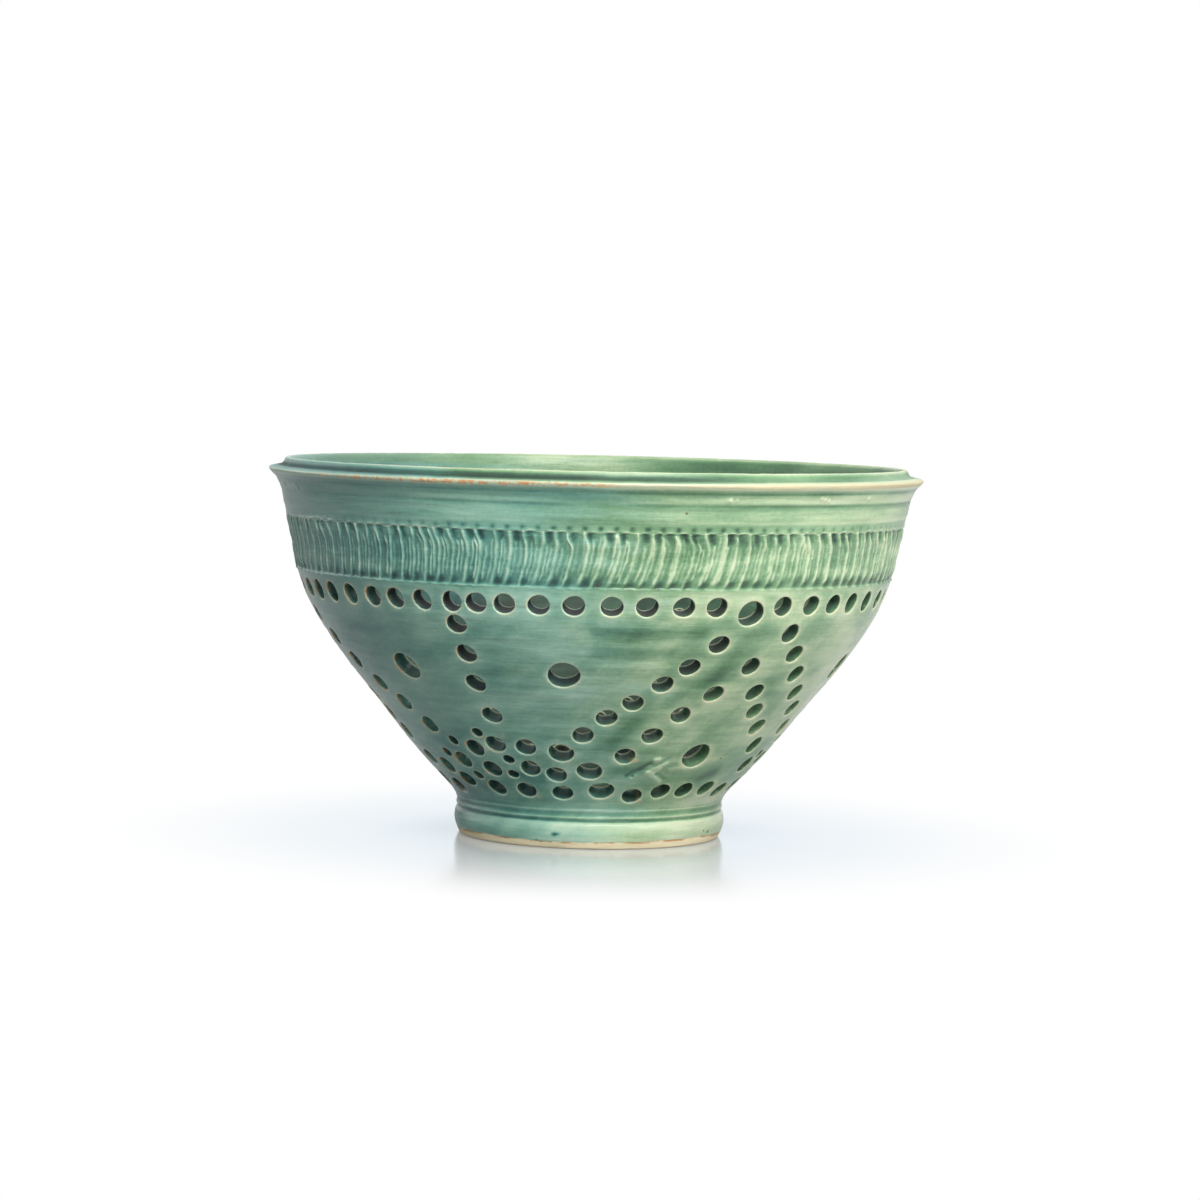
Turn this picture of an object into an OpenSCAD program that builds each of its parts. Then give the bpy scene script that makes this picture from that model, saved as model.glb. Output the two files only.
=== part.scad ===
// Berry bowl: a wheel-thrown stoneware colander bowl, luted on to a thrown foot ring and glazed.
// Millimetres. The foot stands on z = 0 and the bowl's axis is the z axis.
// Angles are in degrees about that axis, from the front (-Y) towards the right (+X).

/* [Rim] */
// Width across the rim's flange, the widest place of the bowl
rim_d = 178; // [170:1:190]
// Height of the bowl, from the table to the top of the lip
bowl_h = 101.6; // [100:0.1:112]
// How far the upright lip stands in from the flange's edge
lip_inset = 4.8; // [4.4:0.1:6]
// Width of the lip's rounded top
lip_w = 1.8; // [1.4:0.1:2.6]
// How far the flange's edge lies below the top of the lip
flange_drop = 3; // [2.5:0.1:4]
// Thickness of the flange's edge
flange_edge_t = 0.9; // [0.7:0.1:1.2]

/* [Wall] */
// Thickness of the glazed wall
wall_t = 4.1; // [3.4:0.1:5]
// Height of the plain collar between the combed band and the flange's edge
collar_h = 12.3; // [10:0.1:15]
// How far the flange's edge stands out beyond the top of the combed band
flange_flare = 5; // [4:0.1:7]
// Height of the combed band
band_h = 15; // [12:0.5:18]
// How far the combed band widens on each side, from the pierced belly up to its own top
band_flare = 3.3; // [2.5:0.1:5]
// How far the bottom of the pierced belly stands out beyond the neck over the foot ring
belly_foot_flare = 1.3; // [0.8:0.1:3]
// Height of the turned base between the foot ring and the belly
base_h = 4.6; // [4:0.1:6]
// Height of the fine turned rings on the base
base_ring_h = 0.35; // [0.2:0.05:0.6]

/* [Floor] */
// Thickness of the floor at its middle
floor_t = 6.5; // [5:0.1:8]
// How much the floor rises towards the wall
floor_rise = 1.4; // [0.8:0.1:2]

/* [Foot ring] */
// Width across the foot ring, at its fullest
foot_d = 73.8; // [70:0.2:76]
// Height of the foot ring, up to the luted joint
foot_h = 7.4; // [6:0.2:10]
// Thickness of the foot ring, from its fullest place to the hollow inside it
foot_wall_t = 7.9; // [6:0.1:10]
// How far the foot ring's outside draws in where it meets the table
foot_bulge = 1.7; // [1:0.1:2.4]
// How far the neck of the joint draws in from the foot ring's fullest width
neck_inset = 0.9; // [0.5:0.1:1.4]
// Height of the short upright stretch on either side of the joint
neck_h = 0.5; // [0.3:0.1:0.8]
// Width of the chamfer inside the foot ring's bottom edge
foot_chamfer = 1.2; // [0.8:0.1:2]

/* [Drain holes] */
// Bore of the common drain holes
hole_d = 5.6; // [5:0.1:6]
// Bore of the large holes in the open fields of the pattern
large_hole_d = 8.4; // [7:0.1:9]
// Bore of the holes that were cut wider, low on the outside of each triangle
wide_hole_d = 6.6; // [6:0.1:7]
// Bore of the large hole at the top of each triangle
peak_hole_d = 7.2; // [6:0.1:7.4]
// Bore of the pinholes in the spray at the foot of each stem
pin_hole_d = 3.2; // [2.4:0.1:3.6]
// Bore of the drain holes in the floor
floor_hole_d = 5.2; // [4:0.1:6]
// Width across the ring of drain holes in the floor
floor_ring_d = 34; // [26:0.5:40]
// Number of drain holes in the floor's ring
floor_hole_count = 6; // [5:1:7]

/* [Glaze] */
// Thickness of the glaze over the clay
glaze_t = 0.4; // [0.3:0.05:0.6]
// Height of the bare clay that is wiped clean at the bottom of the foot ring
bare_h = 2; // [1.4:0.1:2.6]

/* [Hidden] */
$fn = 64;

CLAY = "burlywood";
FOOT_CLAY = "tan";
OUTER_GLAZE = "cadetblue";
LINER_GLAZE = "powderblue";
FULL_TURN = 360;
QUARTER_TURN = 90;

foot_r = foot_d / 2;
foot_bore_r = foot_r - foot_wall_t;
neck_r = foot_r - neck_inset;
rim_r = rim_d / 2;
lip_r = rim_r - lip_inset;
belly_z = foot_h + base_h;
flange_z = bowl_h - flange_drop;
band_top_z = flange_z - collar_h;
belly_top_z = band_top_z - band_h;
belly_h = belly_top_z - belly_z;
belly_foot_r = neck_r + belly_foot_flare;
band_top_r = rim_r - flange_flare;
belly_top_r = band_top_r - band_flare;
floor_z = foot_h + floor_t;
drill_over = 1.2;

// Outlines, as [share of the width, share of the height] of the stretch that they describe
foot_side_shares = [[0, 0], [0.5, 0.1], [0.8, 0.22], [0.96, 0.42], [1, 0.64], [0.88, 0.85]];
base_side_shares = [[0, 0.2], [1, 0.27], [0.3, 0.38], [0.2, 0.52], [1, 0.64], [1.1, 0.74]];
collar_side_shares = [[0.14, 0.22], [0.24, 0.38], [0.34, 0.54], [0.5, 0.7], [0.7, 0.84]];
flange_top_shares = [[0.12, 0.14], [0.34, 0.26], [0.62, 0.36], [0.8, 0.54], [0.92, 0.78]];
floor_side_shares = [[0.94, 0.6], [0.86, 0.22], [0.7, 0.05], [0.65, 0]];
belly_side_shares = [[0, 0], [0.25, 0.2], [0.47, 0.4], [0.69, 0.6], [0.835, 0.75], [0.935, 0.88], [1, 1]];

// A number between a and b
function between(a, b, share) = a + (b - a) * share;
function turned_left(v) = [-v[1], v[0]] / norm(v);
// The way into the clay at point i of a line that keeps the clay on its left
function inward(line, i) =
    let (before = turned_left(line[max(i, 1)] - line[max(i, 1) - 1]),
         last = len(line) - 1,
         after = turned_left(line[min(i, last - 1) + 1] - line[min(i, last - 1)]),
         middle = (before + after) / norm(before + after))
    middle / (middle * before);
// A line moved into the clay by t
function inset(line, t) = [for (i = [0 : len(line) - 1]) line[i] + t * inward(line, i)];
function reversed(line) = [for (i = [len(line) - 1 : -1 : 0]) line[i]];

// Glazed outside of the foot ring, from the table to the joint
foot_side = [for (s = foot_side_shares)
    [between(foot_r - foot_bulge, foot_r, s[0]), foot_h * s[1]]];
bare_point = [lookup(bare_h, [for (p = foot_side) [p[1], p[0]]]), bare_h];
glazed_foot_line = concat(
    [bare_point],
    [for (p = foot_side) if (p[1] > bare_h) p],
    [[neck_r, foot_h - neck_h], [neck_r, foot_h]]);

// Glazed outside of the bowl, from the joint up to the middle of the lip
base_line = concat(
    [[neck_r, foot_h], [neck_r, foot_h + neck_h]],
    [for (s = base_side_shares) [neck_r + base_ring_h * s[0], foot_h + base_h * s[1]]]);
belly_line = [for (s = belly_side_shares)
    [between(belly_foot_r, belly_top_r, s[0]), between(belly_z, belly_top_z, s[1])]];
band_line = [[band_top_r, band_top_z]];
collar_line = concat(
    [for (s = collar_side_shares)
        [between(band_top_r, rim_r, s[0]), between(band_top_z, flange_z - flange_edge_t, s[1])]],
    [[rim_r - flange_edge_t / 2, flange_z - flange_edge_t], [rim_r, flange_z - flange_edge_t / 2]]);
flange_line = concat(
    [[rim_r - flange_edge_t / 2, flange_z]],
    [for (s = flange_top_shares)
        [between(rim_r - flange_edge_t / 2, lip_r, s[0]), between(flange_z, bowl_h, s[1])]]);
lip_line = [
    [lip_r, bowl_h - lip_w / 4],
    [lip_r - lip_w / 4, bowl_h],
    [lip_r - lip_w / 2, bowl_h]];
outer_wall = concat(belly_line, band_line);
outside_line = concat(base_line, outer_wall, collar_line, flange_line, lip_line);

// Glazed inside of the bowl, from the lip down to the middle of the floor
inner_wall = inset(outer_wall, wall_t);
floor_edge_z = floor_z + floor_rise;
floor_edge_r = lookup(floor_edge_z, [for (p = inner_wall) [p[1], p[0]]]);
floor_line = concat(
    [[floor_edge_r, floor_edge_z]],
    [for (s = floor_side_shares) [floor_edge_r * s[0], floor_z + floor_rise * s[1]]],
    [[0, floor_z]]);
inside_line = concat(
    [[lip_r - lip_w * 3 / 4, bowl_h], [lip_r - lip_w, bowl_h - lip_w / 4]],
    [for (p = reversed(inner_wall)) if (p[1] > floor_edge_z) p],
    floor_line);

// The clay's own surface lies one coat of glaze deeper
foot_clay_line = inset(glazed_foot_line, glaze_t);
bowl_clay_line = inset(concat(outside_line, inside_line), glaze_t);
outside_clay_line = [for (i = [0 : len(outside_line) - 1]) bowl_clay_line[i]];
inside_clay_line = [for (i = [len(outside_line) - 1 : len(bowl_clay_line) - 1]) bowl_clay_line[i]];

// Drain holes, as [angle, share of the belly's height]. Those of a row are counted from the centre
// line of the triangle or stem that the row belongs to.
top_ring_angles = [-73, -66.5, -60, -53, -46, -40, -33.5, -27, -22, -16.5, -10, -3.5, 3.5, 10, 17, 23.5,
    38, 45.3, 52, 58.5, 65.5, 73];
// Ends and count of each stretch on the hidden side, which step over the triangles' peaks
top_ring_hidden_angles = [[79.5, 144, 11], [156.5, 264.5, 18], [279, 279, 1]];
top_ring_share = 0.93;
low_ring_angles = [-63, -51, -37, -24, -10, 16.5, 27.5, 38, 49.5, 61];
low_ring_sway_shares = [0.04, 0.085, 0.06, 0.06, 0.055, 0.045, 0.065, 0.065, 0.065, 0.045];
low_ring_hidden_angles = [[74, 284, 17]];
low_ring_share = 0.06;
low_ring_wide_shares = [[4.5, 0.07]];

// Centre lines of the two triangles that show, and of the stems to the left and right of each
triangle_angles = [34.5, -85.5];
stem_angles = [-25.5, 94.5, 213];
// The triangle at the back was marked out the other way round, narrower and a little higher
back_triangle_angle = 147;
back_spread_share = 0.9;
back_lift_share = 0.035;
peak_shares = [[-3.5, 0.9]];
triangle_shares = [
    // outer side, down to the left
    [-8.5, 0.763], [-13.5, 0.661], [-18.5, 0.581], [-24.5, 0.495], [-30.5, 0.424], [-36.5, 0.339],
    // outer side, down to the right
    [8, 0.805], [12.5, 0.708], [17.5, 0.61], [23.5, 0.517], [29.5, 0.436], [35, 0.34],
    // inner side, down to the left
    [1.5, 0.658], [-5, 0.534], [-11.5, 0.437], [-17.5, 0.339], [-24, 0.241]];
triangle_wide_shares = [[-43, 0.251], [-34.5, 0.166]];
triangle_field_shares = [[-0.5, 0.234]];
// Inner side, down to the right: it runs steeper on the triangle at the left
inner_right_shares = [[7, 0.534], [11.5, 0.441], [17.5, 0.359], [23.5, 0.266], [29.5, 0.165]];
steep_inner_right_shares = [[5, 0.534], [8, 0.441], [10.5, 0.359], [13.5, 0.28], [17.5, 0.166], [28, 0.141]];

// Stem between two triangles, with the spray of holes at its foot
stem_shares = [
    [-1.5, 0.83], [-1.2, 0.698], [-1.5, 0.563], [-0.5, 0.415],
    [-11, 0.249], [-3, 0.276], [6.5, 0.271],
    [-19.5, 0.183], [-8.5, 0.153], [6, 0.169], [14.5, 0.144]];
stem_field_shares = [[-19.5, 0.617], [19.5, 0.617]];
stem_pin_shares = [[-7.5, 0.327], [-18.5, 0.276], [-0.5, 0.207], [-25.5, 0.212], [-1, 0.136], [-17, 0.114]];

function shifted(places, angle) = [for (p = places) [p[0] + angle, p[1]]];
function at_each(places, angles) = [for (a = angles, p = shifted(places, a)) p];
// The same places on the triangle at the back
function at_back(places) = [for (p = places)
    [back_triangle_angle - back_spread_share * p[0], p[1] + back_lift_share]];
function on_triangles(places) = concat(at_each(places, triangle_angles), at_back(places));
// Even steps from each stretch's first angle to its last
function even_steps(stretches) =
    [for (s = stretches, k = [0 : s[2] - 1]) between(s[0], s[1], k / max(s[2] - 1, 1))];

top_ring = [for (a = concat(top_ring_angles, even_steps(top_ring_hidden_angles))) [a, top_ring_share]];
low_ring = concat(
    [for (i = [0 : len(low_ring_angles) - 1]) [low_ring_angles[i], low_ring_sway_shares[i]]],
    [for (a = even_steps(low_ring_hidden_angles)) [a, low_ring_share]]);
common_holes = concat(
    top_ring,
    low_ring,
    on_triangles(triangle_shares),
    at_each(stem_shares, stem_angles),
    shifted(inner_right_shares, triangle_angles[0]),
    shifted(steep_inner_right_shares, triangle_angles[1]),
    at_back(inner_right_shares));
large_holes = concat(on_triangles(triangle_field_shares), at_each(stem_field_shares, stem_angles));
wide_holes = concat(low_ring_wide_shares, on_triangles(triangle_wide_shares));
peak_holes = on_triangles(peak_shares);
pin_holes = at_each(stem_pin_shares, stem_angles);

// Radius and slope of the belly's outside at a height
belly_table = [for (p = belly_line) [p[1], p[0]]];
function belly_r(z) = lookup(z, belly_table);
function belly_slope(z) = atan2(belly_r(z + hole_d / 2) - belly_r(z - hole_d / 2), hole_d);

// One hole through the wall, square to it
module drain_hole(place, d) {
    z = belly_z + belly_h * place[1];
    rotate([0, 0, place[0]])
        translate([0, -belly_r(z), z])
            rotate([belly_slope(z) - QUARTER_TURN, 0, 0])
                translate([0, 0, -drill_over])
                    cylinder(d = d, h = wall_t + 2 * drill_over);
}

// Every drain hole, in the wall and in the floor
module drain_holes() {
    for (p = common_holes) drain_hole(p, hole_d);
    for (p = large_holes) drain_hole(p, large_hole_d);
    for (p = wide_holes) drain_hole(p, wide_hole_d);
    for (p = peak_holes) drain_hole(p, peak_hole_d);
    for (p = pin_holes) drain_hole(p, pin_hole_d);
    translate([0, 0, foot_h - drill_over]) {
        cylinder(d = floor_hole_d, h = floor_t + 2 * drill_over);
        for (k = [0 : floor_hole_count - 1])
            rotate([0, 0, FULL_TURN * k / floor_hole_count])
                translate([floor_ring_d / 2, 0, 0])
                    cylinder(d = floor_hole_d, h = floor_t + 2 * drill_over);
    }
}

// Clay of the bowl: wall, rim and floor thrown in one, and pierced
module thrown_bowl() {
    color(CLAY)
        difference() {
            rotate_extrude() polygon(concat([[0, foot_h]], bowl_clay_line));
            drain_holes();
        }
}

// Clay ring that the bowl is luted on to and stands on
module foot_ring() {
    color(FOOT_CLAY)
        rotate_extrude()
            polygon(concat(
                [for (p = foot_side) if (p[1] < bare_h) p],
                [bare_point],
                foot_clay_line,
                [[foot_bore_r, foot_h], [foot_bore_r, foot_chamfer], [foot_bore_r + foot_chamfer, 0]]));
}

// Glaze that the whole bowl was dipped in: the outside of foot, belly, band and rim
module outer_glaze() {
    color(OUTER_GLAZE)
        difference() {
            rotate_extrude()
                polygon(concat(
                    glazed_foot_line,
                    outside_line,
                    reversed(outside_clay_line),
                    reversed(foot_clay_line)));
            drain_holes();
        }
}

// Glaze that was poured round the inside first: the lip's inner half, the wall and the floor
module liner_glaze() {
    color(LINER_GLAZE)
        difference() {
            rotate_extrude()
                polygon(concat(
                    [outside_line[len(outside_line) - 1]],
                    inside_line,
                    reversed(inside_clay_line)));
            drain_holes();
        }
}

thrown_bowl();
foot_ring();
outer_glaze();
liner_glaze();
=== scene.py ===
# %% [markdown]
# # A thrown and glazed berry bowl
# The real object is stoneware. A potter throws a bowl and a foot ring, lutes the one on to the
# other, combs a band under the rim, cuts drain holes through the leather-hard wall, and dips the
# fired clay in a green ash glaze that runs thin on every edge and pools in every hollow.
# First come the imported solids, which give the true size, then the tools, the glaze and the clay.
# The surfaces follow one after another, from the wall and the band to the rim, the floor and the
# foot, and last come the table, the lamps and the camera.

# %% Load the solids that the looks are built around
import math

import bpy
import numpy as np
from mathutils import Matrix, Vector
from mathutils.geometry import delaunay_2d_cdt


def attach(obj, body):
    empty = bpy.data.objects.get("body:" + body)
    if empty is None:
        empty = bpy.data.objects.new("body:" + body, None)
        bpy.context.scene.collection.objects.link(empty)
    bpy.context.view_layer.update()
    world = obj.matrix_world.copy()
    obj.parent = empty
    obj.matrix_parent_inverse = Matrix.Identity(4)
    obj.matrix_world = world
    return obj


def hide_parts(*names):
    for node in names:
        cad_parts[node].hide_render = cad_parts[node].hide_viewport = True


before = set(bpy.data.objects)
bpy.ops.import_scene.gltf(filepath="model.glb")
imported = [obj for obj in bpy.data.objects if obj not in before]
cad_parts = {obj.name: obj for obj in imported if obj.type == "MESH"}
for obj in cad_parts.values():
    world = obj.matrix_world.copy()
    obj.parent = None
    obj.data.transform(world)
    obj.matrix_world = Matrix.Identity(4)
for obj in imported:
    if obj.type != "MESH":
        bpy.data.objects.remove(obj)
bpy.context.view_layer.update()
print("solids:", sorted(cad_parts))

# %% [markdown]
# ## Tools for turned shapes
# A pot is a profile swept round an axis. A profile is given by a few places that were measured
# on the bowl, in millimetres, and a cubic spline runs through them, as a potter's rib would.
# Angles go round from the front of the bowl (-Y) towards its right side (+X).

# %% A smooth curve through a few measured places
MM = 0.001


def spline(x, y, at):
    """Natural cubic spline: the second derivatives m solve h0 m0 + 2 (h0 + h1) m1 + h1 m2 =
    6 (change of slope) at each inner place, and each stretch is the cubic that they give."""
    x, y, at = (np.asarray(a, float) for a in (x, y, at))
    h, n = np.diff(x), len(x)
    i = np.arange(1, n - 1)
    a, rhs = np.eye(n), np.zeros(n)
    a[i, i - 1], a[i, i], a[i, i + 1] = h[:-1], 2 * (h[:-1] + h[1:]), h[1:]
    rhs[1:-1] = 6 * np.diff(np.diff(y) / h)
    m = np.linalg.solve(a, rhs)
    k = np.clip(np.searchsorted(x, at) - 1, 0, n - 2)
    t, w = at - x[k], x[k + 1] - at
    return ((m[k] * w**3 + m[k + 1] * t**3) / (6 * h[k])
            + (y[k] / h[k] - m[k] * h[k] / 6) * w + (y[k + 1] / h[k] - m[k + 1] * h[k] / 6) * t)


def through(places, counts):
    """Rows along a profile of (radius, height, look, look...) places: a spline through the radii
    and heights over the length walked, straight lines between the looks, and counts[i] steps from
    place i to the next one."""
    p = np.asarray(places, float)
    length = np.concatenate([[0], np.cumsum(np.hypot(*np.diff(p[:, :2], axis=0).T))])
    steps = [np.linspace(a, b, n, endpoint=False) for a, b, n in zip(length, length[1:], counts)]
    at = np.concatenate(steps + [length[-1:]])
    curve = [spline(length, p[:, k], at) for k in (0, 1)]
    return np.column_stack(curve + [np.interp(at, length, p[:, k]) for k in range(2, p.shape[1])])


def bump(x, half_width):
    """A smooth hill, exp(-(x / half_width) squared): 1 at x = 0 and next to nothing at 2.5 half widths."""
    return np.exp(-((x / half_width) ** 2))


def step(x, low, high):
    """Smooth step from 0 at low to 1 at high: 3 t squared - 2 t cubed."""
    t = np.clip((x - low) / (high - low), 0, 1)
    return t * t * (3 - 2 * t)


def turn(radius, angle, height):
    """Places (radius sin angle, -radius cos angle, height), with the angle in radians."""
    return np.stack(np.broadcast_arrays(radius * np.sin(angle), -radius * np.cos(angle), height), -1)


def waves(angle, orders, seed):
    """A slow wander round the pot: the mean of cosines of whole orders, with steady random phases."""
    r = np.random.default_rng(seed)
    return sum(np.cos(k * angle + r.uniform(0, 2 * np.pi)) / len(orders) for k in orders)


# %% Putting arrays into a mesh
def make_piece(name, places_mm, faces, material, seam, **looks):
    """One closed piece. places_mm is (n, 3), faces are index arrays, seam marks with 1, 2, ... the
    vertices on a hidden joint, where the shading breaks, and looks are numbers per vertex."""
    mesh = bpy.data.meshes.new(name)
    mesh.from_pydata((np.asarray(places_mm) * MM).tolist(), [], [f.tolist() for g in faces for f in g])
    mesh.update(calc_edges=True)
    ends = np.empty(2 * len(mesh.edges), np.int32)
    mesh.edges.foreach_get("vertices", ends)
    a, b = seam[ends[::2]], seam[ends[1::2]]
    sharp = mesh.attributes.new("sharp_edge", "BOOLEAN", "EDGE")
    sharp.data.foreach_set("value", (a == b) & (a > 0))
    for key, values in looks.items():
        layer = mesh.attributes.new(key, "FLOAT", "POINT")
        layer.data.foreach_set("value", np.ascontiguousarray(values, np.float32).ravel())
    mesh.materials.append(material)
    mesh.polygons.foreach_set("use_smooth", np.ones(len(mesh.polygons), bool))
    piece = bpy.data.objects.new(name, mesh)
    bpy.context.scene.collection.objects.link(piece)
    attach(piece, "root")
    triangles = sum(len(f) * (f.shape[1] - 2) for f in faces)
    print(name, len(mesh.vertices), "vertices,", triangles, "triangles")
    return piece


def ring_faces(rows, columns):
    """Quads of a closed cross-section of `rows` places swept all the way round in `columns`."""
    i, j = np.meshgrid(np.arange(rows), np.arange(columns), indexing="ij")
    i2, j2 = (i + 1) % rows, (j + 1) % columns
    quads = np.stack([i * columns + j, i * columns + j2, i2 * columns + j2, i2 * columns + j], -1)
    return quads.reshape(-1, 4)


def joined(levels):
    """Quads between each ring of indices and the next one, for one ring a level or for many."""
    return [np.stack([o, np.roll(o, -1, -1), np.roll(n, -1, -1), n], -1).reshape(-1, 4)
            for o, n in zip(levels[:-1], levels[1:])]


# %% [markdown]
# ## The glaze and the clay
# The glaze is a wood-ash celadon: a glossy glass tinted by iron. Where it is thin, on edges and on
# the ribs of the combing, the buff clay shows through and it looks cream. Where it pools it is
# deep green. The bowl was dipped from two sides, so one half is bluer than the other.
# Every surface below stores three numbers per vertex: thin, pool and rust. Mostly they come from the shape
# itself, so the glaze breaks where the shape has an edge, and holds wherever it is lit. In places, though,
# thin also carries painted light and pool painted shade, on the sides that face the lamp or turn away from
# it and in the bowl's dark inside.
# The floor and the foot store a fourth, bare, for clay that was never glazed.


# %% Colours and the one helper that adds a node
def srgb(code):
    """sRGB hex to linear colour: c / 12.92 below 0.04045, else ((c + 0.055) / 1.055) to the 2.4."""
    c = np.array([int(code[i:i + 2], 16) / 255 for i in (1, 3, 5)])
    c = np.where(c <= 0.04045, c / 12.92, ((c + 0.055) / 1.055) ** 2.4)
    return (*c, 1.0)


def add(tree, kind, *inputs, out=0, stops=(), **settings):
    """Adds a node and gives its output `out`. Inputs are numbers, colours or sockets, in the node's
    own order or by name, and None leaves one alone. Other settings are the node's properties, and
    stops are the (place, hex colour) pairs of a ramp, from left to right."""
    node = tree.nodes.new("ShaderNode" + kind)
    for key, value in [*settings.items(), *enumerate(inputs)]:
        if isinstance(key, str) and hasattr(node, key):
            setattr(node, key, value)
        elif isinstance(value, bpy.types.NodeSocket):
            tree.links.new(value, node.inputs[key])
        elif value is not None:
            node.inputs[key].default_value = value
    for k, (place, code) in enumerate(stops):
        if k > 1:
            node.color_ramp.elements.new(place)
        node.color_ramp.elements[k].position = place
        node.color_ramp.elements[k].color = srgb(code)
    return node.outputs[out]


def total(tree, start, *terms):
    """start + the sum of a * b over the terms (a, b), where each of them is a number or a socket."""
    for a, b in terms:
        start = add(tree, "Math", a, b, start, operation="MULTIPLY_ADD")
    return start


def mottling(tree, size_mm, detail, rough, shift=(0, 0, 0), lean=0.0):
    """How the glaze varies from place to place, about -0.5 to 0.5: noise on the object's own
    coordinates, less its middle. Its patches are size_mm long in x, y and z, after a turn of lean
    radians about Y."""
    place = add(tree, "TexCoord", out="Object")
    if lean:
        place = add(tree, "VectorRotate", place, None, None, lean, rotation_type="Y_AXIS")
    place = add(tree, "Mapping", place, shift, None, [1 / (MM * size) for size in size_mm])
    return total(tree, -0.5, (add(tree, "TexNoise", place, None, 1.0, detail, rough), 1.0))


# %% [markdown]
# The colour is looked up by glaze thickness on two ramps, a bluer and a yellower one, and mixed
# across the overlap of the two dips. Streaks 25 mm long and 4 mm high lie level, because the pot
# turned under the rib and the sponge. Iron specks from the clay, 0.4 to 0.8 mm wide, burn through
# here and there. A painted image would smear on a bowl with 223 holes, so the colour is worked
# out from the place on the bowl and the three numbers that its vertices carry.

# %% The colour of the two dips
TEAL = [(0.0, "#cfc198"), (0.13, "#b6c9b0"), (0.27, "#90b4a1"), (0.4, "#749f8d"), (0.54, "#528376"),
        (0.67, "#355d57"), (0.8, "#23403e"), (0.97, "#1b2120")]
GREEN = [(0.0, "#c0b896"), (0.13, "#bcc6a9"), (0.27, "#a5b893"), (0.4, "#7c9b78"), (0.54, "#597d5a"),
         (0.67, "#3f5b47"), (0.8, "#293f32"), (0.97, "#1f221b")]
EASED = {"interpolation_type": "SMOOTHSTEP"}
# A Mix node's colours are its inputs 6 and 7 and its output 2, past those for numbers and places.
COLOURS, TO_COLOURS = {"data_type": "RGBA", "out": 2}, [None] * 5
print("ramps:", len(TEAL), "and", len(GREEN), "stops")


def dipped_colour(t, x, y, z, thin, pool, broad):
    """The two ramps, both read at 0.385 + 0.4 pool - 0.4 thin + the mottling, and mixed by the
    side of the bowl. Streaks are 25 mm long and 4 mm high, slanting runs 7 mm wide and 29 mm long,
    and the grain is 1.1 mm, coarser than that of real ash, which wouldn't show."""
    streak = mottling(t, (25, 25, 25 / 6), 5, 0.58)
    runs = mottling(t, (6.667, 16.667, 28.571), 3, 0.5, (6, 2, 8), math.radians(-48))
    grain = mottling(t, (1.111, 1.111, 1.111), 2, 0.6)
    # Bluer to the left and at the foot, yellower on the band, the lip and the far side.
    tints = [(z, 0.066, 0.088, 0.0, 0.3), (z, 0.0982, 0.0994, 0.0, 1.3), (z, 0.018, 0.045, -0.4, 0.0),
             (y, 0.0, 0.03, 0.0, 1.0)]
    side = total(t, 0.25, (z, -6.0), (x, 28.0), (streak, 1.7), (broad, 1.4),
                 *((add(t, "MapRange", *tint, **EASED), 1.0) for tint in tints))
    # The runs end under the band. Low on the left the glaze is painted deeper, a painted shade, and far
    # right it is painted thinner, a painted sheen.
    depth = total(t, 0.385, (pool, 0.4), (thin, -0.4), (streak, 0.42), (broad, 0.34), (grain, 0.1),
                  (runs, add(t, "MapRange", z, 0.074, 0.064, 0.0, 0.4, **EASED)),
                  (add(t, "MapRange", z, 0.038, 0.013, **EASED),
                   add(t, "MapRange", x, 0.004, -0.02, 0.0, 0.13, **EASED)),
                  (add(t, "MapRange", x, 0.025, 0.065, **EASED),
                   add(t, "MapRange", z, 0.074, 0.064, 0.0, -0.08, **EASED)))
    teals, greens = (add(t, "ValToRGB", depth, stops=stops) for stops in (TEAL, GREEN))
    return add(t, "Mix", add(t, "MapRange", side, -0.65, 0.55, **EASED), *TO_COLOURS, teals, greens,
               **COLOURS)


# %% What lies over that colour
def laid_over(t, colour, where, x, thin, pool, rust, broad):
    """A painted shade of slate blue at the far left, where the glaze is plain, burnt orange where the
    vertices say rust, and an iron speck in about one of eighty cells of 3.8 mm, or more of them where it is
    burnt. Each is mixed over what is there by its share."""
    # Painted shade: the far left of the bowl, turned away from the lamp, is painted a darker slate blue.
    painted_shade_left = add(t, "MapRange", total(t, x, (broad, 0.05)), -0.03, -0.075, 0.0, 0.45, **EASED)
    for plain in ((pool, 0.3, 0.6, 1.0, 0.0), (thin, 0.15, 0.4, 1.0, 0.3)):
        painted_shade_left = add(t, "Math", painted_shade_left, add(t, "MapRange", *plain, **EASED), operation="MULTIPLY")
    flecks = mottling(t, (1.25, 1.25, 1.25), 2, 0.6, (5, 5, 5))
    rusty = add(t, "Math", rust, add(t, "MapRange", flecks, -0.12, 0.12, **EASED), operation="MULTIPLY")
    cells = add(t, "TexVoronoi", where, Scale=1 / (MM * 3.846)).node.outputs
    chance = total(t, add(t, "SeparateColor", cells["Color"]), (rust, 0.14))
    chosen = add(t, "Math", chance, 0.988, operation="GREATER_THAN")
    dot = add(t, "MapRange", cells["Distance"], 0.05, 0.1, 0.85, 0.0, **EASED)
    speck = add(t, "Math", chosen, dot, operation="MULTIPLY")
    for share, code in ((painted_shade_left, "#4c6e72"), (rusty, "#c98f5c"), (speck, "#4a3426")):
        colour = add(t, "Mix", share, *TO_COLOURS, colour, srgb(code), **COLOURS)
    return colour


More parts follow.
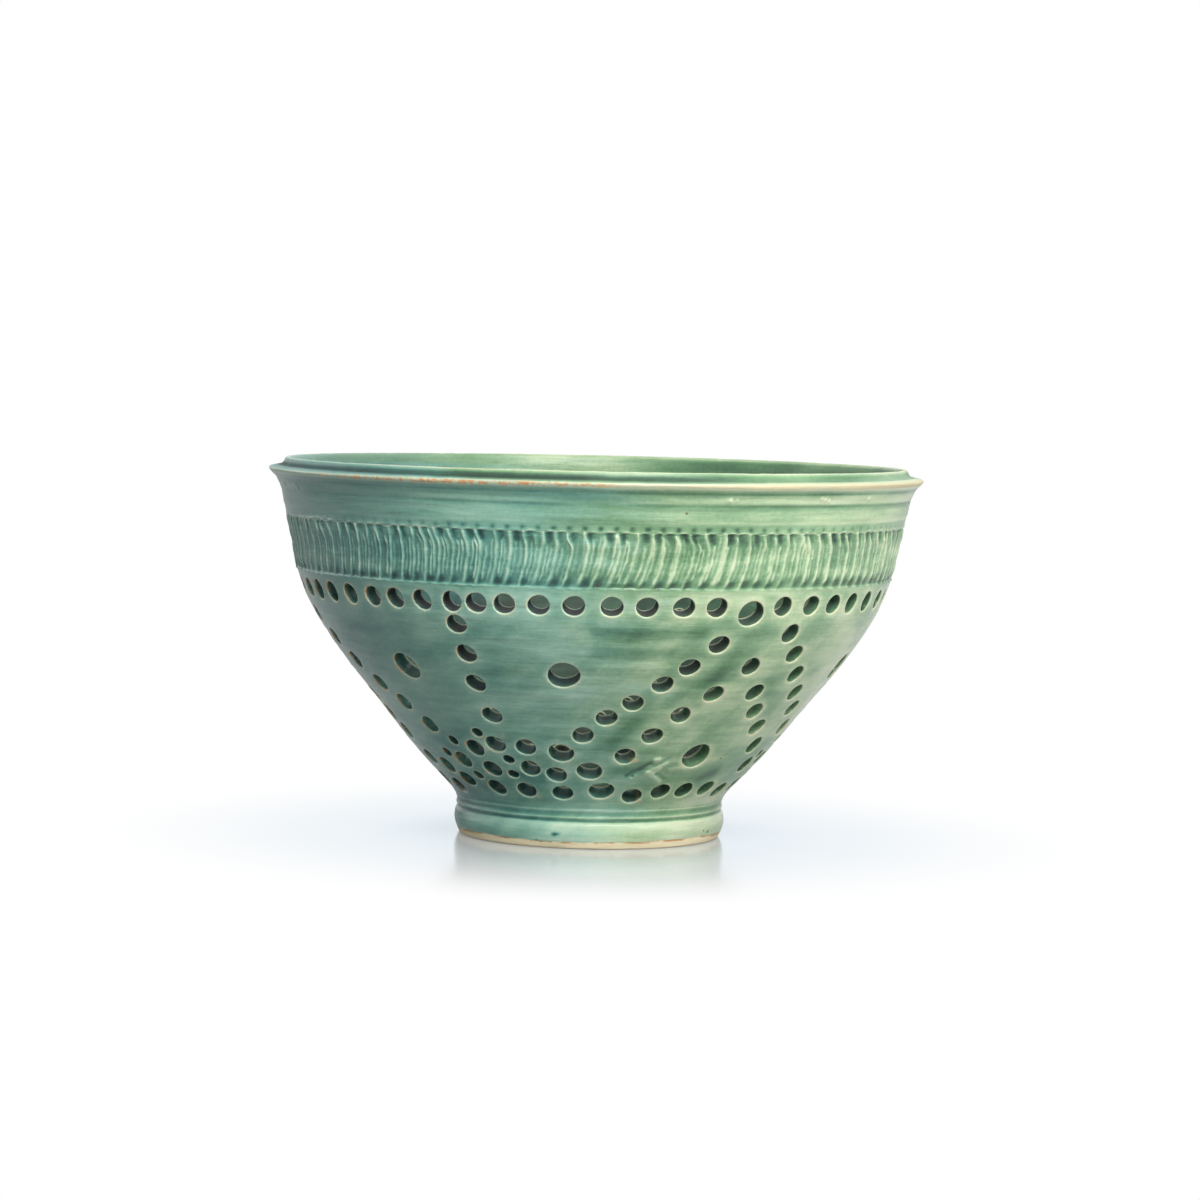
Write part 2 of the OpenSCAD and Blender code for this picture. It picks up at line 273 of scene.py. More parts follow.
# %% The clay of the wiped foot
def wiped_foot(t, z, colour, rough):
    """Matt buff clay below a line that wanders round 2 mm above the table, and wherever the
    vertices say bare, with flashes of burnt orange just under the line."""
    line = total(t, z, (mottling(t, (16.667, 16.667, 16.667), 3, 0.6, (7, 7, 7)), 0.0016))
    unglazed = add(t, "Attribute", attribute_name="bare", out="Fac")
    bare = add(t, "Math", add(t, "MapRange", line, 0.0019, 0.0021, 1.0, 0.0, **EASED),
               add(t, "MapRange", unglazed, 0.4, 0.6, **EASED), operation="MAXIMUM")
    flames = mottling(t, (5, 5, 2), 3, 0.6, (2, 9, 4))
    flash = add(t, "Math", add(t, "MapRange", line, 0.0014, 0.0019, **EASED),
                add(t, "MapRange", flames, -0.08, 0.06, **EASED), operation="MULTIPLY")
    clay = add(t, "Mix", flash, *TO_COLOURS, srgb("#e6d8b4"), srgb("#b87d48"), **COLOURS)
    return add(t, "Mix", bare, *TO_COLOURS, colour, clay, **COLOURS), total(t, rough, (bare, 0.5))


# %% The two finishes: glaze alone, and glaze that was wiped off at the foot
def ash_glaze(name, foot_line=False):
    """Glossy ash glaze, IOR 1.5, roughness 0.25, and rougher in the bores, on thin edges and at
    the lip. Low throwing marks, a tenth of a millimetre or so, and a faint skin break up its
    highlights."""
    material = bpy.data.materials.new(name)
    material.use_nodes = True
    t = material.node_tree
    shader = t.nodes["Principled BSDF"]
    thin, pool, rust = (add(t, "Attribute", attribute_name=k, out="Fac") for k in ("thin", "pool", "rust"))
    where = add(t, "TexCoord", out="Object")
    x, y, z = add(t, "SeparateXYZ", where).node.outputs
    broad = mottling(t, (55.556, 55.556, 16.667), 2, 0.5, (3, 1, 2))
    colour = dipped_colour(t, x, y, z, thin, pool, broad)
    colour = laid_over(t, colour, where, x, thin, pool, rust, broad)
    rough = total(t, add(t, "MapRange", pool, 0.7, 1.1, 0.25, 0.6, **EASED),
                  (add(t, "MapRange", thin, 0.5, 0.9, 0.0, 0.3, **EASED), 1.0),
                  (add(t, "MapRange", z, 0.0984, 0.099, 0.0, 0.15, **EASED), 1.0))
    if foot_line:
        colour, rough = wiped_foot(t, z, colour, rough)
    height = total(t, 0.0, (mottling(t, (2, 2, 2), 1, 0.5), 0.00006),
                   (mottling(t, (16.667, 16.667, 2.381), 3, 0.5, (1, 4, 7)), 0.0004))
    t.links.new(rough, shader.inputs["Roughness"])
    t.links.new(colour, shader.inputs["Base Color"])
    t.links.new(add(t, "Bump", 1.0, 1.0, Height=height), shader.inputs["Normal"])
    shader.inputs["IOR"].default_value = 1.5
    shader.inputs["Specular IOR Level"].default_value = 0.3
    return material


glaze = ash_glaze("ash_glaze_dipped")
foot_glaze = ash_glaze("ash_glaze_wiped_at_the_foot", foot_line=True)
print("glazes:", glaze.name, foot_glaze.name)

# %% [markdown]
# ## The pierced wall
# On the real bowl the holes were cut with a tube while the clay was leather hard, then their
# edges were sponged soft and the glaze rounded them further. A boolean cut would leave hard,
# badly shaded edges. Here the wall is laid out flat instead, as a map with the angle one way and
# the stretch along the wall the other. The map keeps circles round, because its height runs as
# the sum of (length / radius), as on a sea chart. The holes are rings of points on that map, the
# sheet between them is filled with even triangles, and the same sheet is used for the outside
# and the inside, with a rounded bore joining the two rings of each hole.

# %% Where the holes are
# A hole is [angle, share of the belly's height], as in the part's own source, and a hidden stretch
# of a row is [first angle, last angle, count].
TOP_SEEN = [-73, -66.5, -60, -53, -46, -40, -33.5, -27, -22, -16.5, -10, -3.5, 3.5, 10, 17, 23.5,
            38, 45.3, 52, 58.5, 65.5, 73]
LOW_SEEN = [-63, -51, -37, -24, -10, 16.5, 27.5, 38, 49.5, 61]
LOW_SHARES = [0.04, 0.085, 0.06, 0.06, 0.055, 0.045, 0.065, 0.065, 0.065, 0.045]
TOP_HIDDEN = [[79.5, 144, 11], [156.5, 264.5, 18], [279, 279, 1]]
LOW_HIDDEN = [[74, 284, 17]]
LOW_WIDE = [[4.5, 0.07]]
PEAK = [[-3.5, 0.9]]
TRIANGLE = [[-8.5, 0.763], [-13.5, 0.661], [-18.5, 0.581], [-24.5, 0.495], [-30.5, 0.424],
            [-36.5, 0.339], [8, 0.805], [12.5, 0.708], [17.5, 0.61], [23.5, 0.517], [29.5, 0.436],
            [35, 0.34], [1.5, 0.658], [-5, 0.534], [-11.5, 0.437], [-17.5, 0.339], [-24, 0.241]]
TRIANGLE_WIDE = [[-43, 0.251], [-34.5, 0.166]]
TRIANGLE_FIELD = [[-0.5, 0.234]]
INNER_RIGHT = [[7, 0.534], [11.5, 0.441], [17.5, 0.359], [23.5, 0.266], [29.5, 0.165]]
STEEP_INNER_RIGHT = [[5, 0.534], [8, 0.441], [10.5, 0.359], [13.5, 0.28], [17.5, 0.166], [28, 0.141]]
STEM = [[-1.5, 0.83], [-1.2, 0.698], [-1.5, 0.563], [-0.5, 0.415], [-11, 0.249], [-3, 0.276],
        [6.5, 0.271], [-19.5, 0.183], [-8.5, 0.153], [6, 0.169], [14.5, 0.144]]
STEM_FIELD = [[-19.5, 0.617], [19.5, 0.617]]
STEM_PINS = [[-7.5, 0.327], [-18.5, 0.276], [-0.5, 0.207], [-25.5, 0.212], [-1, 0.136], [-17, 0.114]]
TRIANGLES, STEMS = (34.5, -85.5), (-25.5, 94.5, 213)
BACK_ANGLE, BACK_SPREAD, BACK_LIFT = 147, 0.9, 0.035
TOP_SHARE, LOW_SHARE = 0.93, 0.06
BELLY_LOW, BELLY_TOP = 12.0, 71.3


def shifted(places, *angles):
    """The same places once more at each of the angles."""
    return [[a + angle, share] for angle in angles for a, share in places]


def hidden(stretches, share):
    """Even steps along each stretch of the side that the picture doesn't show."""
    return [[a, share] for first, last, count in stretches for a in np.linspace(first, last, count)]


def at_back(places):
    """The triangle at the back, which was marked out the other way round, narrower and higher."""
    return [[BACK_ANGLE - BACK_SPREAD * a, share + BACK_LIFT] for a, share in places]


def on_triangles(places):
    """The places on the three triangles."""
    return shifted(places, *TRIANGLES) + at_back(places)


common = ([[a, TOP_SHARE] for a in TOP_SEEN] + hidden(TOP_HIDDEN, TOP_SHARE)
          + [[a, share] for a, share in zip(LOW_SEEN, LOW_SHARES)] + hidden(LOW_HIDDEN, LOW_SHARE)
          + on_triangles(TRIANGLE) + shifted(STEM, *STEMS)
          + shifted(INNER_RIGHT, TRIANGLES[0]) + shifted(STEEP_INNER_RIGHT, TRIANGLES[1])
          + at_back(INNER_RIGHT))
large = on_triangles(TRIANGLE_FIELD) + shifted(STEM_FIELD, *STEMS)
wide, peaks = LOW_WIDE + on_triangles(TRIANGLE_WIDE), on_triangles(PEAK)
pins = shifted(STEM_PINS, *STEMS)
holes = np.array(common + large + wide + peaks + pins, float)
hole_angle = np.radians(holes[:, 0])
hole_z = BELLY_LOW + (BELLY_TOP - BELLY_LOW) * holes[:, 1]
hole_r = np.repeat([2.75, 4.15, 3.25, 3.6, 1.55], [len(g) for g in (common, large, wide, peaks, pins)])
print(len(holes), "drain holes in the wall")

# %% The wall's two profiles and the map of it
WALL = 4.1
SEAM_LOW = 10.9
WALL_Z = [SEAM_LOW, 12, 14.9, 23.8, 35.6, 47.4, 56.3, 63.9, BELLY_TOP]
WALL_R = [36.62, 37.3, 39.85, 48.15, 57.7, 67.25, 73.55, 77.9, 80.7]
z_fine = np.linspace(SEAM_LOW, BELLY_TOP, 3000)
r_fine = spline(WALL_Z, WALL_R, z_fine)
slope = np.gradient(r_fine, z_fine)
run = np.hypot(1, slope)
chart = np.concatenate([[0], np.cumsum((run / r_fine)[:-1] * np.diff(z_fine))])
CHART_TOP = chart[-1]
FLOOR_CORNER = (34.75, 15.0)
settle = step(z_fine, SEAM_LOW, 15.2)
in_r = r_fine - settle * WALL / run + (1 - settle) * (FLOOR_CORNER[0] - r_fine[0])
in_z = z_fine + settle * WALL * slope / run + (1 - settle) * (FLOOR_CORNER[1] - z_fine[0])
print("the wall's map is %.3f radians high" % CHART_TOP)


def wall_place(angle, v, depth):
    """The place at (angle, chart height v), depth 0 on the outside and 1 on the inside of the wall."""
    outer = turn(np.interp(v, chart, r_fine), angle, np.interp(v, chart, z_fine))
    inner = turn(np.interp(v, chart, in_r), angle, np.interp(v, chart, in_z))
    return outer + np.asarray(depth)[..., None] * (inner - outer)


# %% How far each hole's edge may be rounded
hole_v = np.interp(hole_z, z_fine, chart)
hole_scale = np.interp(hole_z, z_fine, r_fine)


def round_trip(a):
    """An angle brought to -180..180 degrees, in radians."""
    return (a + np.pi) % (2 * np.pi) - np.pi


across = round_trip(hole_angle[:, None] - hole_angle)
apart = np.hypot(across, hole_v[:, None] - hole_v) * (hole_scale[:, None] + hole_scale) / 2
apart = apart - hole_r[:, None] - hole_r
np.fill_diagonal(apart, 9)
soft = np.minimum(np.where(hole_r < 2, 0.3, 0.38), (apart.min(1) - 0.15) / 2)
soft = np.maximum(soft, 0.15)
print("narrowest bridge between two holes %.2f mm" % apart.min())
print("edges rounded by %.2f to %.2f mm" % (soft.min(), soft.max()))

# %% An even grid on the map, finer round the scar
# COLUMNS places go round the wall and AROUND places round each hole. Rows of even triangles are
# ROW_SHARE of a side apart, and the places are shaken a little, so that no rows show in the light.
COLUMNS, AROUND = 300, 24
ROW_SHARE = 0.87
rng = np.random.default_rng(11)


def near_hole(angle, v, reach):
    """Is a map place closer to some hole's middle than the hole's radius + rounding + reach mm?"""
    d = np.hypot(round_trip(angle[:, None] - hole_angle), v[:, None] - hole_v) * hole_scale
    return d < hole_r + soft + reach


spacing = 2 * np.pi / COLUMNS
rows = int(round(CHART_TOP / (spacing * ROW_SHARE)))
row, column = np.meshgrid(np.arange(rows + 1), np.arange(COLUMNS), indexing="ij")
inside = (row > 0) & (row < rows)
shake = np.where(inside, rng.uniform(-0.12, 0.12, (2, *row.shape)) * spacing, 0)
grid_a = round_trip((column + 0.5 * (row % 2)) * spacing - np.pi + shake[0]).ravel()
grid_v = (row * CHART_TOP / rows + shake[1]).ravel()
seam_side = np.where(row == 0, 1, np.where(row == rows, 2, 0)).ravel()
inside = inside.ravel()
SCAR_PATCH = np.radians([8, 36]), (16.5, 28.0)


def in_patch(angle, v, margin):
    """Is a map place within the finer patch, grown by a margin in radians?"""
    (a0, a1), (z0, z1) = SCAR_PATCH
    v0, v1 = np.interp((z0, z1), z_fine, chart)
    return (angle > a0 - margin) & (angle < a1 + margin) & (v > v0 - margin) & (v < v1 + margin)


fine = spacing / 4
i, j = np.meshgrid(np.arange(-10, 200), np.arange(-10, 200), indexing="ij")
fine_a = (SCAR_PATCH[0][0] + (i + 0.5 * (j % 2)) * fine).ravel()
fine_v = (np.interp(SCAR_PATCH[1][0], z_fine, chart) + j * ROW_SHARE * fine).ravel()
keep_fine = in_patch(fine_a, fine_v, 0)
keep_coarse = ~in_patch(grid_a, grid_v, 0.5 * spacing)
grid_a, grid_v, seam_side, inside = (np.concatenate([old[keep_coarse], new]) for old, new in (
    (grid_a, fine_a[keep_fine]), (grid_v, fine_v[keep_fine]),
    (seam_side, np.zeros(keep_fine.sum(), int)), (inside, np.ones(keep_fine.sum(), bool))))
print("grid:", len(grid_a), "places,", keep_fine.sum(), "of them in the finer patch")

# %% Rings round the holes, and which places of the grid are kept
ring_turn = np.arange(AROUND) * 2 * np.pi / AROUND
centre = round_trip(hole_angle)
oval_at, egg_at = (rng.uniform(0, 6.3, (len(holes), 1)) for _ in range(2))
wander = 1 + 0.035 * np.cos(2 * ring_turn + oval_at) + 0.02 * np.cos(3 * ring_turn + egg_at)


def hole_ring(extra, turned=0.0):
    """Map places on a ring round every hole, extra mm outside its bore."""
    radius = (hole_r[:, None] * wander + extra) / hole_scale[:, None]
    return (centre[:, None] + radius * np.cos(ring_turn + turned),
            hole_v[:, None] + radius * np.sin(ring_turn + turned))


lip_a, lip_v = hole_ring(soft[:, None])
halo_a, halo_v = hole_ring(soft[:, None] + 0.3, np.pi / AROUND)
halo_a, halo_v = halo_a.ravel(), halo_v.ravel()
own = np.repeat(np.arange(len(holes)), AROUND)
close = near_hole(halo_a, halo_v, 0.3)
close[np.arange(len(own)), own] = False
keep_halo = ~close.any(1) & (halo_v > 0.4 * spacing) & (halo_v < CHART_TOP - 0.4 * spacing)
keep_grid = ~near_hole(grid_a, grid_v, 0.95).any(1) | ~inside
sheet_a = np.concatenate([lip_a.ravel(), halo_a[keep_halo], grid_a[keep_grid]])
sheet_v = np.concatenate([lip_v.ravel(), halo_v[keep_halo], grid_v[keep_grid]])
home = np.concatenate([centre[own], centre[own][keep_halo], grid_a[keep_grid]])
ring_of = np.full(len(sheet_a), -1)
ring_of[:lip_a.size] = own
seam_of = np.zeros(len(sheet_a), int)
seam_of[lip_a.size + keep_halo.sum():] = seam_side[keep_grid]
print("kept:", keep_halo.sum(), "places close round the holes and", keep_grid.sum(), "of the grid")


# %% Filling a sheet with triangles
def fill_sheet(a, b, ring, edges):
    """Triangles between the points, counter-clockwise, with the given edges kept and each ring of
    points left open. Those of a Delaunay filling are as even as they can be."""
    _, _, faces, origin, _, _ = delaunay_2d_cdt(
        [Vector(p) for p in zip(a.tolist(), b.tolist())], edges.tolist(), [], 0, 1e-9)
    first = np.array([o[0] if o else -1 for o in origin])
    tri = first[np.array([f for f in faces if len(f) == 3])]
    tri = tri[(tri >= 0).all(1)]
    r = ring[tri]
    tri = tri[~((r[:, 0] >= 0) & (r[:, 0] == r[:, 1]) & (r[:, 1] == r[:, 2]))]
    p = np.column_stack([a, b])[tri]
    u, w = p[:, 1] - p[:, 0], p[:, 2] - p[:, 0]
    flip = u[:, 0] * w[:, 1] - u[:, 1] * w[:, 0] < 0
    tri[flip] = tri[flip][:, ::-1]
    return tri


# %% The sheet closes on itself
# Spare stretches are added past both ends before it is filled, and a triangle is kept where its
# middle lies in the first full turn.
SPARE = 0.3


def fill_closed_sheet(a, v, home, ring, seam):
    """Triangles of a sheet that runs once round, counter-clockwise seen from outside."""
    index, angle, rings = [], [], []
    for turn_by in (0, -2 * np.pi, 2 * np.pi):
        pick = np.flatnonzero((home + turn_by > -np.pi - SPARE) & (home + turn_by < np.pi + SPARE))
        index.append(pick)
        angle.append(a[pick] + turn_by)
        rings.append(np.where(ring[pick] >= 0, ring[pick] + len(holes) * len(index), -1))
    index, angle, rings = np.concatenate(index), np.concatenate(angle), np.concatenate(rings)
    loops = np.flatnonzero(rings >= 0).reshape(-1, AROUND)
    edges = [np.stack([loops, np.roll(loops, -1, 1)], -1).reshape(-1, 2)]
    for side in (1, 2):
        line = np.flatnonzero(seam[index] == side)
        line = line[np.argsort(angle[line])]
        edges.append(np.column_stack([line[:-1], line[1:]]))
    tri = fill_sheet(angle, v[index], rings, np.concatenate(edges))
    middle = angle[tri].mean(1)
    return index[tri[(middle >= -np.pi) & (middle < np.pi)]]


sheet = fill_closed_sheet(sheet_a, sheet_v, home, ring_of, seam_of)
print("sheet:", len(sheet_a), "places,", len(sheet), "triangles")

# %% [markdown]
# A wall that was thrown by hand is never quite its profile. Slow waves, the finger rings of the
# throwing and one scar where the glaze ran are added to the outside as a height in millimetres.
# They fade out at the two joints, so that the pieces above and below still meet the wall.

# %% The unevenness of the wall's outside
# A stroke leads from an angle and height to another, with a half width and a height in mm. SCARS
# are ridges and cuts in the clay. RUNS are glaze that ran thick, or thin where they are negative.
SCARS = [[20.2, 25.2, 21.3, 25.4, 0.65, 0.5], [24.4, 24.1, 18.9, 21.6, 0.6, 0.33],
         [18.9, 21.6, 24.8, 18.9, 0.65, 0.33], [26.5, 22.3, 31.5, 22.9, 0.7, 0.25],
         [23, 22.7, 21, 21.4, 0.4, 0.3], [31.5, 22.9, 38, 23, 0.8, 0.14],
         [22.5, 21.2, 26, 19.8, 0.6, -0.2], [24.5, 25.6, 21, 23.4, 0.6, -0.18],
         [19.2, 24.3, 12.5, 20.7, 0.75, -0.5], [14.3, 20.6, 14.3, 20.6, 0.8, 0.35],
         [14.3, 20.6, 14.3, 20.6, 0.4, -0.7]]
RUNS = [[11.5, 36.8, 6.7, 29.9, 2.6, 0.3], [32.9, 51.5, 19.4, 41.8, 2.4, 0.2],
        [21.5, 58.7, 12.7, 42.4, 3, 0.16], [12.7, 42.4, 0, 28.1, 3, 0.16],
        [34.3, 69.1, 26.5, 42.2, 2.4, 0.16], [0.7, 60.4, 21.9, 60.6, 1.7, 0.4],
        [0.4, 54.8, 16.3, 55, 1.3, 0.3], [43.7, 47.2, 53.7, 35.3, 2.2, 0.2],
        [47.3, 20.9, 41.1, 18.9, 1.6, 0.3], [7.9, 21.9, 16.3, 22.5, 1.8, 0.25],
        [-23.8, 20.3, -16, 20.1, 1.7, 0.4], [-37.4, 16.6, -35.3, 15, 1.7, 0.3],
        [-11, 50, -0.3, 51.2, 1.5, 0.14], [-58.3, 58.7, -38.8, 58.8, 2.2, 0.14],
        [38, 19.5, 46, 20.5, 2, 0.22], [1.4, 63.8, 12.7, 63, 1.8, -0.08],
        [28.3, 32, 21.8, 22.4, 2.6, -0.2], [60.1, 52.8, 82.7, 32.2, 4, -0.28],
        [56, 64, 72, 50, 3.5, -0.25], [-34, 28.2, -25.6, 24.2, 2.4, -0.3],
        [-33, 52.4, -29.2, 43.5, 3, -0.14], [-12, 63, -2, 60, 2.4, -0.16], [150, 40, 172, 62, 3, 0.3],
        [-140, 30, -120, 55, 3, 0.3], [118, 60, 140, 60, 2, 0.25], [-168, 50, -150, 51, 2, 0.2],
        [-62, 16, -22, 17, 4, 0.16], [-52, 30, -40, 22, 3, 0.14], [28, 60, 48, 62, 5, 0.08],
        [46, 56, 52, 40, 4, 0.12], [-18, 50, -6, 49, 2.5, -0.12], [-12, 25.5, -7, 22.5, 1.5, -0.14],
        [0, 63, 9, 63.5, 1.8, 0.12], [48, 51, 53, 49, 2, -0.14], [-48, 63, -35, 63, 2.5, -0.12]]


def strokes(table, angle, z):
    """The sum over a table of [angle, z, angle, z, half width in mm, height] strokes, each of them
    height * exp(-(distance to the stroke / half width) squared)."""
    added = 0.0
    for a0, z0, a1, z1, half, height in table:
        scale = np.interp((z0 + z1) / 2, z_fine, r_fine)
        p = np.stack([round_trip(np.radians(a0) - angle) * scale, z0 - z])
        d = np.array([np.radians(a1 - a0) * scale, z1 - z0])
        along = np.clip(-(p[0] * d[0] + p[1] * d[1]) / max(d @ d, 1e-9), 0, 1)
        added = added + height * bump(np.hypot(p[0] + along * d[0], p[1] + along * d[1]), half)
    return added


def uneven(angle, z):
    """How far the outside stands proud, in mm: slow waves, spiral finger rings and the scars."""
    slow = 0.16 * waves(angle + 0.02 * z, (2, 3, 5), 1) + 0.12 * waves(angle, (4, 7), 2) * np.cos(z / 9)
    rings = (0.05 * np.cos(2 * np.pi * z / 6.3 + angle) + 0.035 * np.cos(2 * np.pi * z / 3.4 - 2 * angle)
             + 0.03 * np.cos(2 * np.pi * z / 2.1 + 3 * angle))
    fade = step(z, SEAM_LOW, SEAM_LOW + 4) * (1 - step(z, BELLY_TOP - 4, BELLY_TOP))
    return fade * (slow + rings * (0.7 + 0.3 * np.cos(3 * angle + z / 11)) + strokes(SCARS, angle, z))


print(len(SCARS), "strokes make the scar, and", len(RUNS), "the runs of the glaze")


# %% The bores, from the lip on the outside to the lip on the inside
# Eight rings a bore: a rounded edge, the middle, a pale line where the inner coat ends, and the inner edge.
# Their glaze is deep in the middle, and thin or burnt at the edges. The near-black of that middle is partly
# pooled glaze and partly painted shade.
TURNS = np.radians([30, 60, 90])
outward = np.concatenate([1 - np.sin(TURNS), [0, 0], (1 - np.sin(TURNS))[::-1]])
inward = 1 - np.cos(TURNS)
BORE_THIN = [0.85, 0.45, 0.0, 0.0, 0.0, 0.95, 1.0, 0.7]
BORE_POOL_AND_SHADE = [0.0, 0.2, 1.1, 1.4, 1.4, 0.0, 0.0, 0.0]
BORE_EDGE = [1.0, 1.0, 0.3, 0.0, 0.0, 0.0, 0.0, 0.0]
BORES = len(outward)
outer_end = soft[:, None] * inward / WALL
half_way = np.full((len(soft), 1), 0.45)
pale_line = 1 - (soft[:, None] + 0.6) / WALL
bore_depth = np.concatenate([outer_end, half_way, pale_line, 1 - outer_end[:, ::-1]], 1)
bore = [hole_ring(soft[:, None] * k) for k in outward]
bore_a, bore_v = np.stack([b[0] for b in bore], 1), np.stack([b[1] for b in bore], 1)
bore_d = np.broadcast_to(bore_depth[:, :, None], bore_a.shape)
print("bores:", bore_a.size, "places")

# %% Both skins, the bores and the hidden joints as one closed mesh
N = len(sheet_a)
wall_a = np.concatenate([sheet_a, sheet_a, bore_a.ravel()])
wall_v = np.concatenate([sheet_v, sheet_v, bore_v.ravel()])
wall_d = np.concatenate([np.zeros(N), np.ones(N), bore_d.ravel()])
wall_z = np.interp(wall_v, chart, z_fine)
wall_xyz = wall_place(wall_a, wall_v, wall_d)
proud = uneven(wall_a, wall_z) * (1 - wall_d)
wall_xyz[:, :2] *= 1 + (proud / np.hypot(wall_xyz[:, 0], wall_xyz[:, 1]))[:, None]

ring = np.arange(len(holes))[:, None] * AROUND + np.arange(AROUND)
in_bore = 2 * N + np.arange(bore_a.size).reshape(bore_a.shape)
bore_faces = joined([ring, *(in_bore[:, k] for k in range(BORES)), N + ring])
bottom, top = (np.flatnonzero(seam_of == k) for k in (1, 2))
bottom, top = bottom[np.argsort(sheet_a[bottom])], top[np.argsort(sheet_a[top])]
bottom_cap = np.stack([np.roll(bottom, -1), bottom, N + bottom, N + np.roll(bottom, -1)], -1)
top_cap = np.stack([top, np.roll(top, -1), N + np.roll(top, -1), N + top], -1)
wall_seam = np.concatenate([seam_of, np.where(seam_of > 0, seam_of + 2, 0), np.zeros(bore_a.size, int)])
print("the wall is out of true by %.2f to %.2f mm" % (proud.min(), proud.max()))

# %% Where the glaze is thin or pooled on the wall, and where light and shade are painted on it
from_edge = np.full(N, 9.0)
for part in np.array_split(np.arange(N), 8):
    d = np.hypot(round_trip(sheet_a[part, None] - hole_angle), sheet_v[part, None] - hole_v) * hole_scale
    from_edge[part] = (d - hole_r - soft).min(1)
from_edge = np.maximum(from_edge, 0)
halo = 0.38 * np.exp(-from_edge / 0.17) + 0.11 * np.exp(-from_edge / 1.5)
covered = 0.45 * rng.random((len(holes), 1))
covered_at = rng.uniform(0, 6.3, (len(holes), 1))
uneven_edge = 1 - covered * np.maximum(np.cos(ring_turn - covered_at), 0)
uneven_edge = uneven_edge - 0.12 * rng.random((len(holes), AROUND))
halo[:ring.size] *= uneven_edge.ravel()
outer_z = wall_z[:N]
proud_scar, glaze_run = strokes(SCARS, sheet_a, outer_z), 1.2 * strokes(RUNS, sheet_a, outer_z)
# The inside of the wall is near black-green and darker still low down. This is partly glaze pooled in the
# well and partly painted shade.
inner_pool_and_shade = 1 + 0.25 * (1 - step(outer_z, 45, 62))
# Painted light: the bores at the sides and low on the wall, where light reaches in, keep less of that
# painted shade.
painted_bore_shade = (1 - 0.45 * step(np.abs(np.sin(hole_angle)), 0.4, 0.85)) * (0.5 + 0.5 * step(hole_z, 30, 60))
painted_bore_shade = painted_bore_shade[:, None, None]
# Painted light: low on the right, where the light falls, the glaze is painted thinner and so paler.
painted_light_low_right = 0.48 * bump(np.degrees(sheet_a) - 62, 34) * (1 - step(outer_z, 13, 18))
bore_thin = np.array(BORE_THIN)[:, None] * np.where(np.arange(BORES)[:, None] < 3, uneven_edge[:, None], 1)
outer_thin_and_light = halo + painted_light_low_right + np.clip(proud_scar, 0, 0.4) + np.maximum(-glaze_run, 0)
outer_pool = np.clip(np.maximum(glaze_run, 0) - 1.2 * np.minimum(proud_scar, 0), 0, 0.65)
bore_pool_and_shade = np.array(BORE_POOL_AND_SHADE)[:, None] * painted_bore_shade * np.ones(AROUND)
wall_thin_and_light = np.concatenate([np.clip(outer_thin_and_light, 0, 1), 0.5 * halo, bore_thin.ravel()])
wall_pool_and_shade = np.concatenate([outer_pool, inner_pool_and_shade, bore_pool_and_shade.ravel()])
print("glaze: thin up to %.2f, pooled up to %.2f" % (wall_thin_and_light.max(), wall_pool_and_shade.max()))

# %% Where it is burnt, and the finished wall
# A spot of rust is [angle, z, strength]. The flame licked the left side, and each hole's edge
# more on one side than on the other.
RUST_SPOTS = [[-49, 23.1, 1], [-31.2, 30, 0.5], [13.7, 25.1, 0.65], [-21.5, 22.4, 0.9],
              [-20.2, 14.1, 0.5], [20.2, 13.2, 0.5], [-24.8, 31.2, 0.4], [150, 30, 0.8],
              [-120, 40, 0.8], [-150, 16, 0.7]]
left = step(-np.sin(wall_a + 0.2), 0.0, 0.8)
bore_edge = np.broadcast_to(np.array(BORE_EDGE)[:, None], bore_a.shape)
edge = np.concatenate([step(halo, 0.3, 0.47), np.zeros(N), bore_edge.ravel()])
lick = 0.35 + 0.9 * np.maximum(np.cos(ring_turn - 2.5), 0)
flame = np.ones(len(wall_a))
flame[:ring.size] = np.tile(lick, len(holes))
flame[2 * N:] = np.broadcast_to(lick, bore_a.shape).ravel()
wall_rust = np.clip((0.12 + 0.8 * left * flame) * edge, 0, 1)
for a0, z0, rusty in RUST_SPOTS:
    spot = rusty * bump(np.hypot(round_trip(wall_a - math.radians(a0)) * 44, wall_z - z0), 0.75)
    wall_rust, wall_thin_and_light = np.maximum(wall_rust, spot), np.maximum(wall_thin_and_light, 0.7 * spot)
wall = make_piece("pierced_wall", wall_xyz,
                  [sheet, N + sheet[:, ::-1], *bore_faces, bottom_cap, top_cap],
                  glaze, wall_seam, thin=wall_thin_and_light, pool=wall_pool_and_shade, rust=wall_rust)

# %% [markdown]
# ## The combed band
# A toothed tool was pressed into the clay and dragged down, once for each stroke, all round the
# pot. Each stroke left a tall ridge on its left, two lower ones inside it, a scoop at the top
# where the tool went in, and a hollow at the bottom where it came out. A bump map couldn't give
# the ragged edge that shows against the background, so the ridges are real geometry. The columns
# of the grid follow the ridges, so a few columns a ridge are enough for a crisp crest.

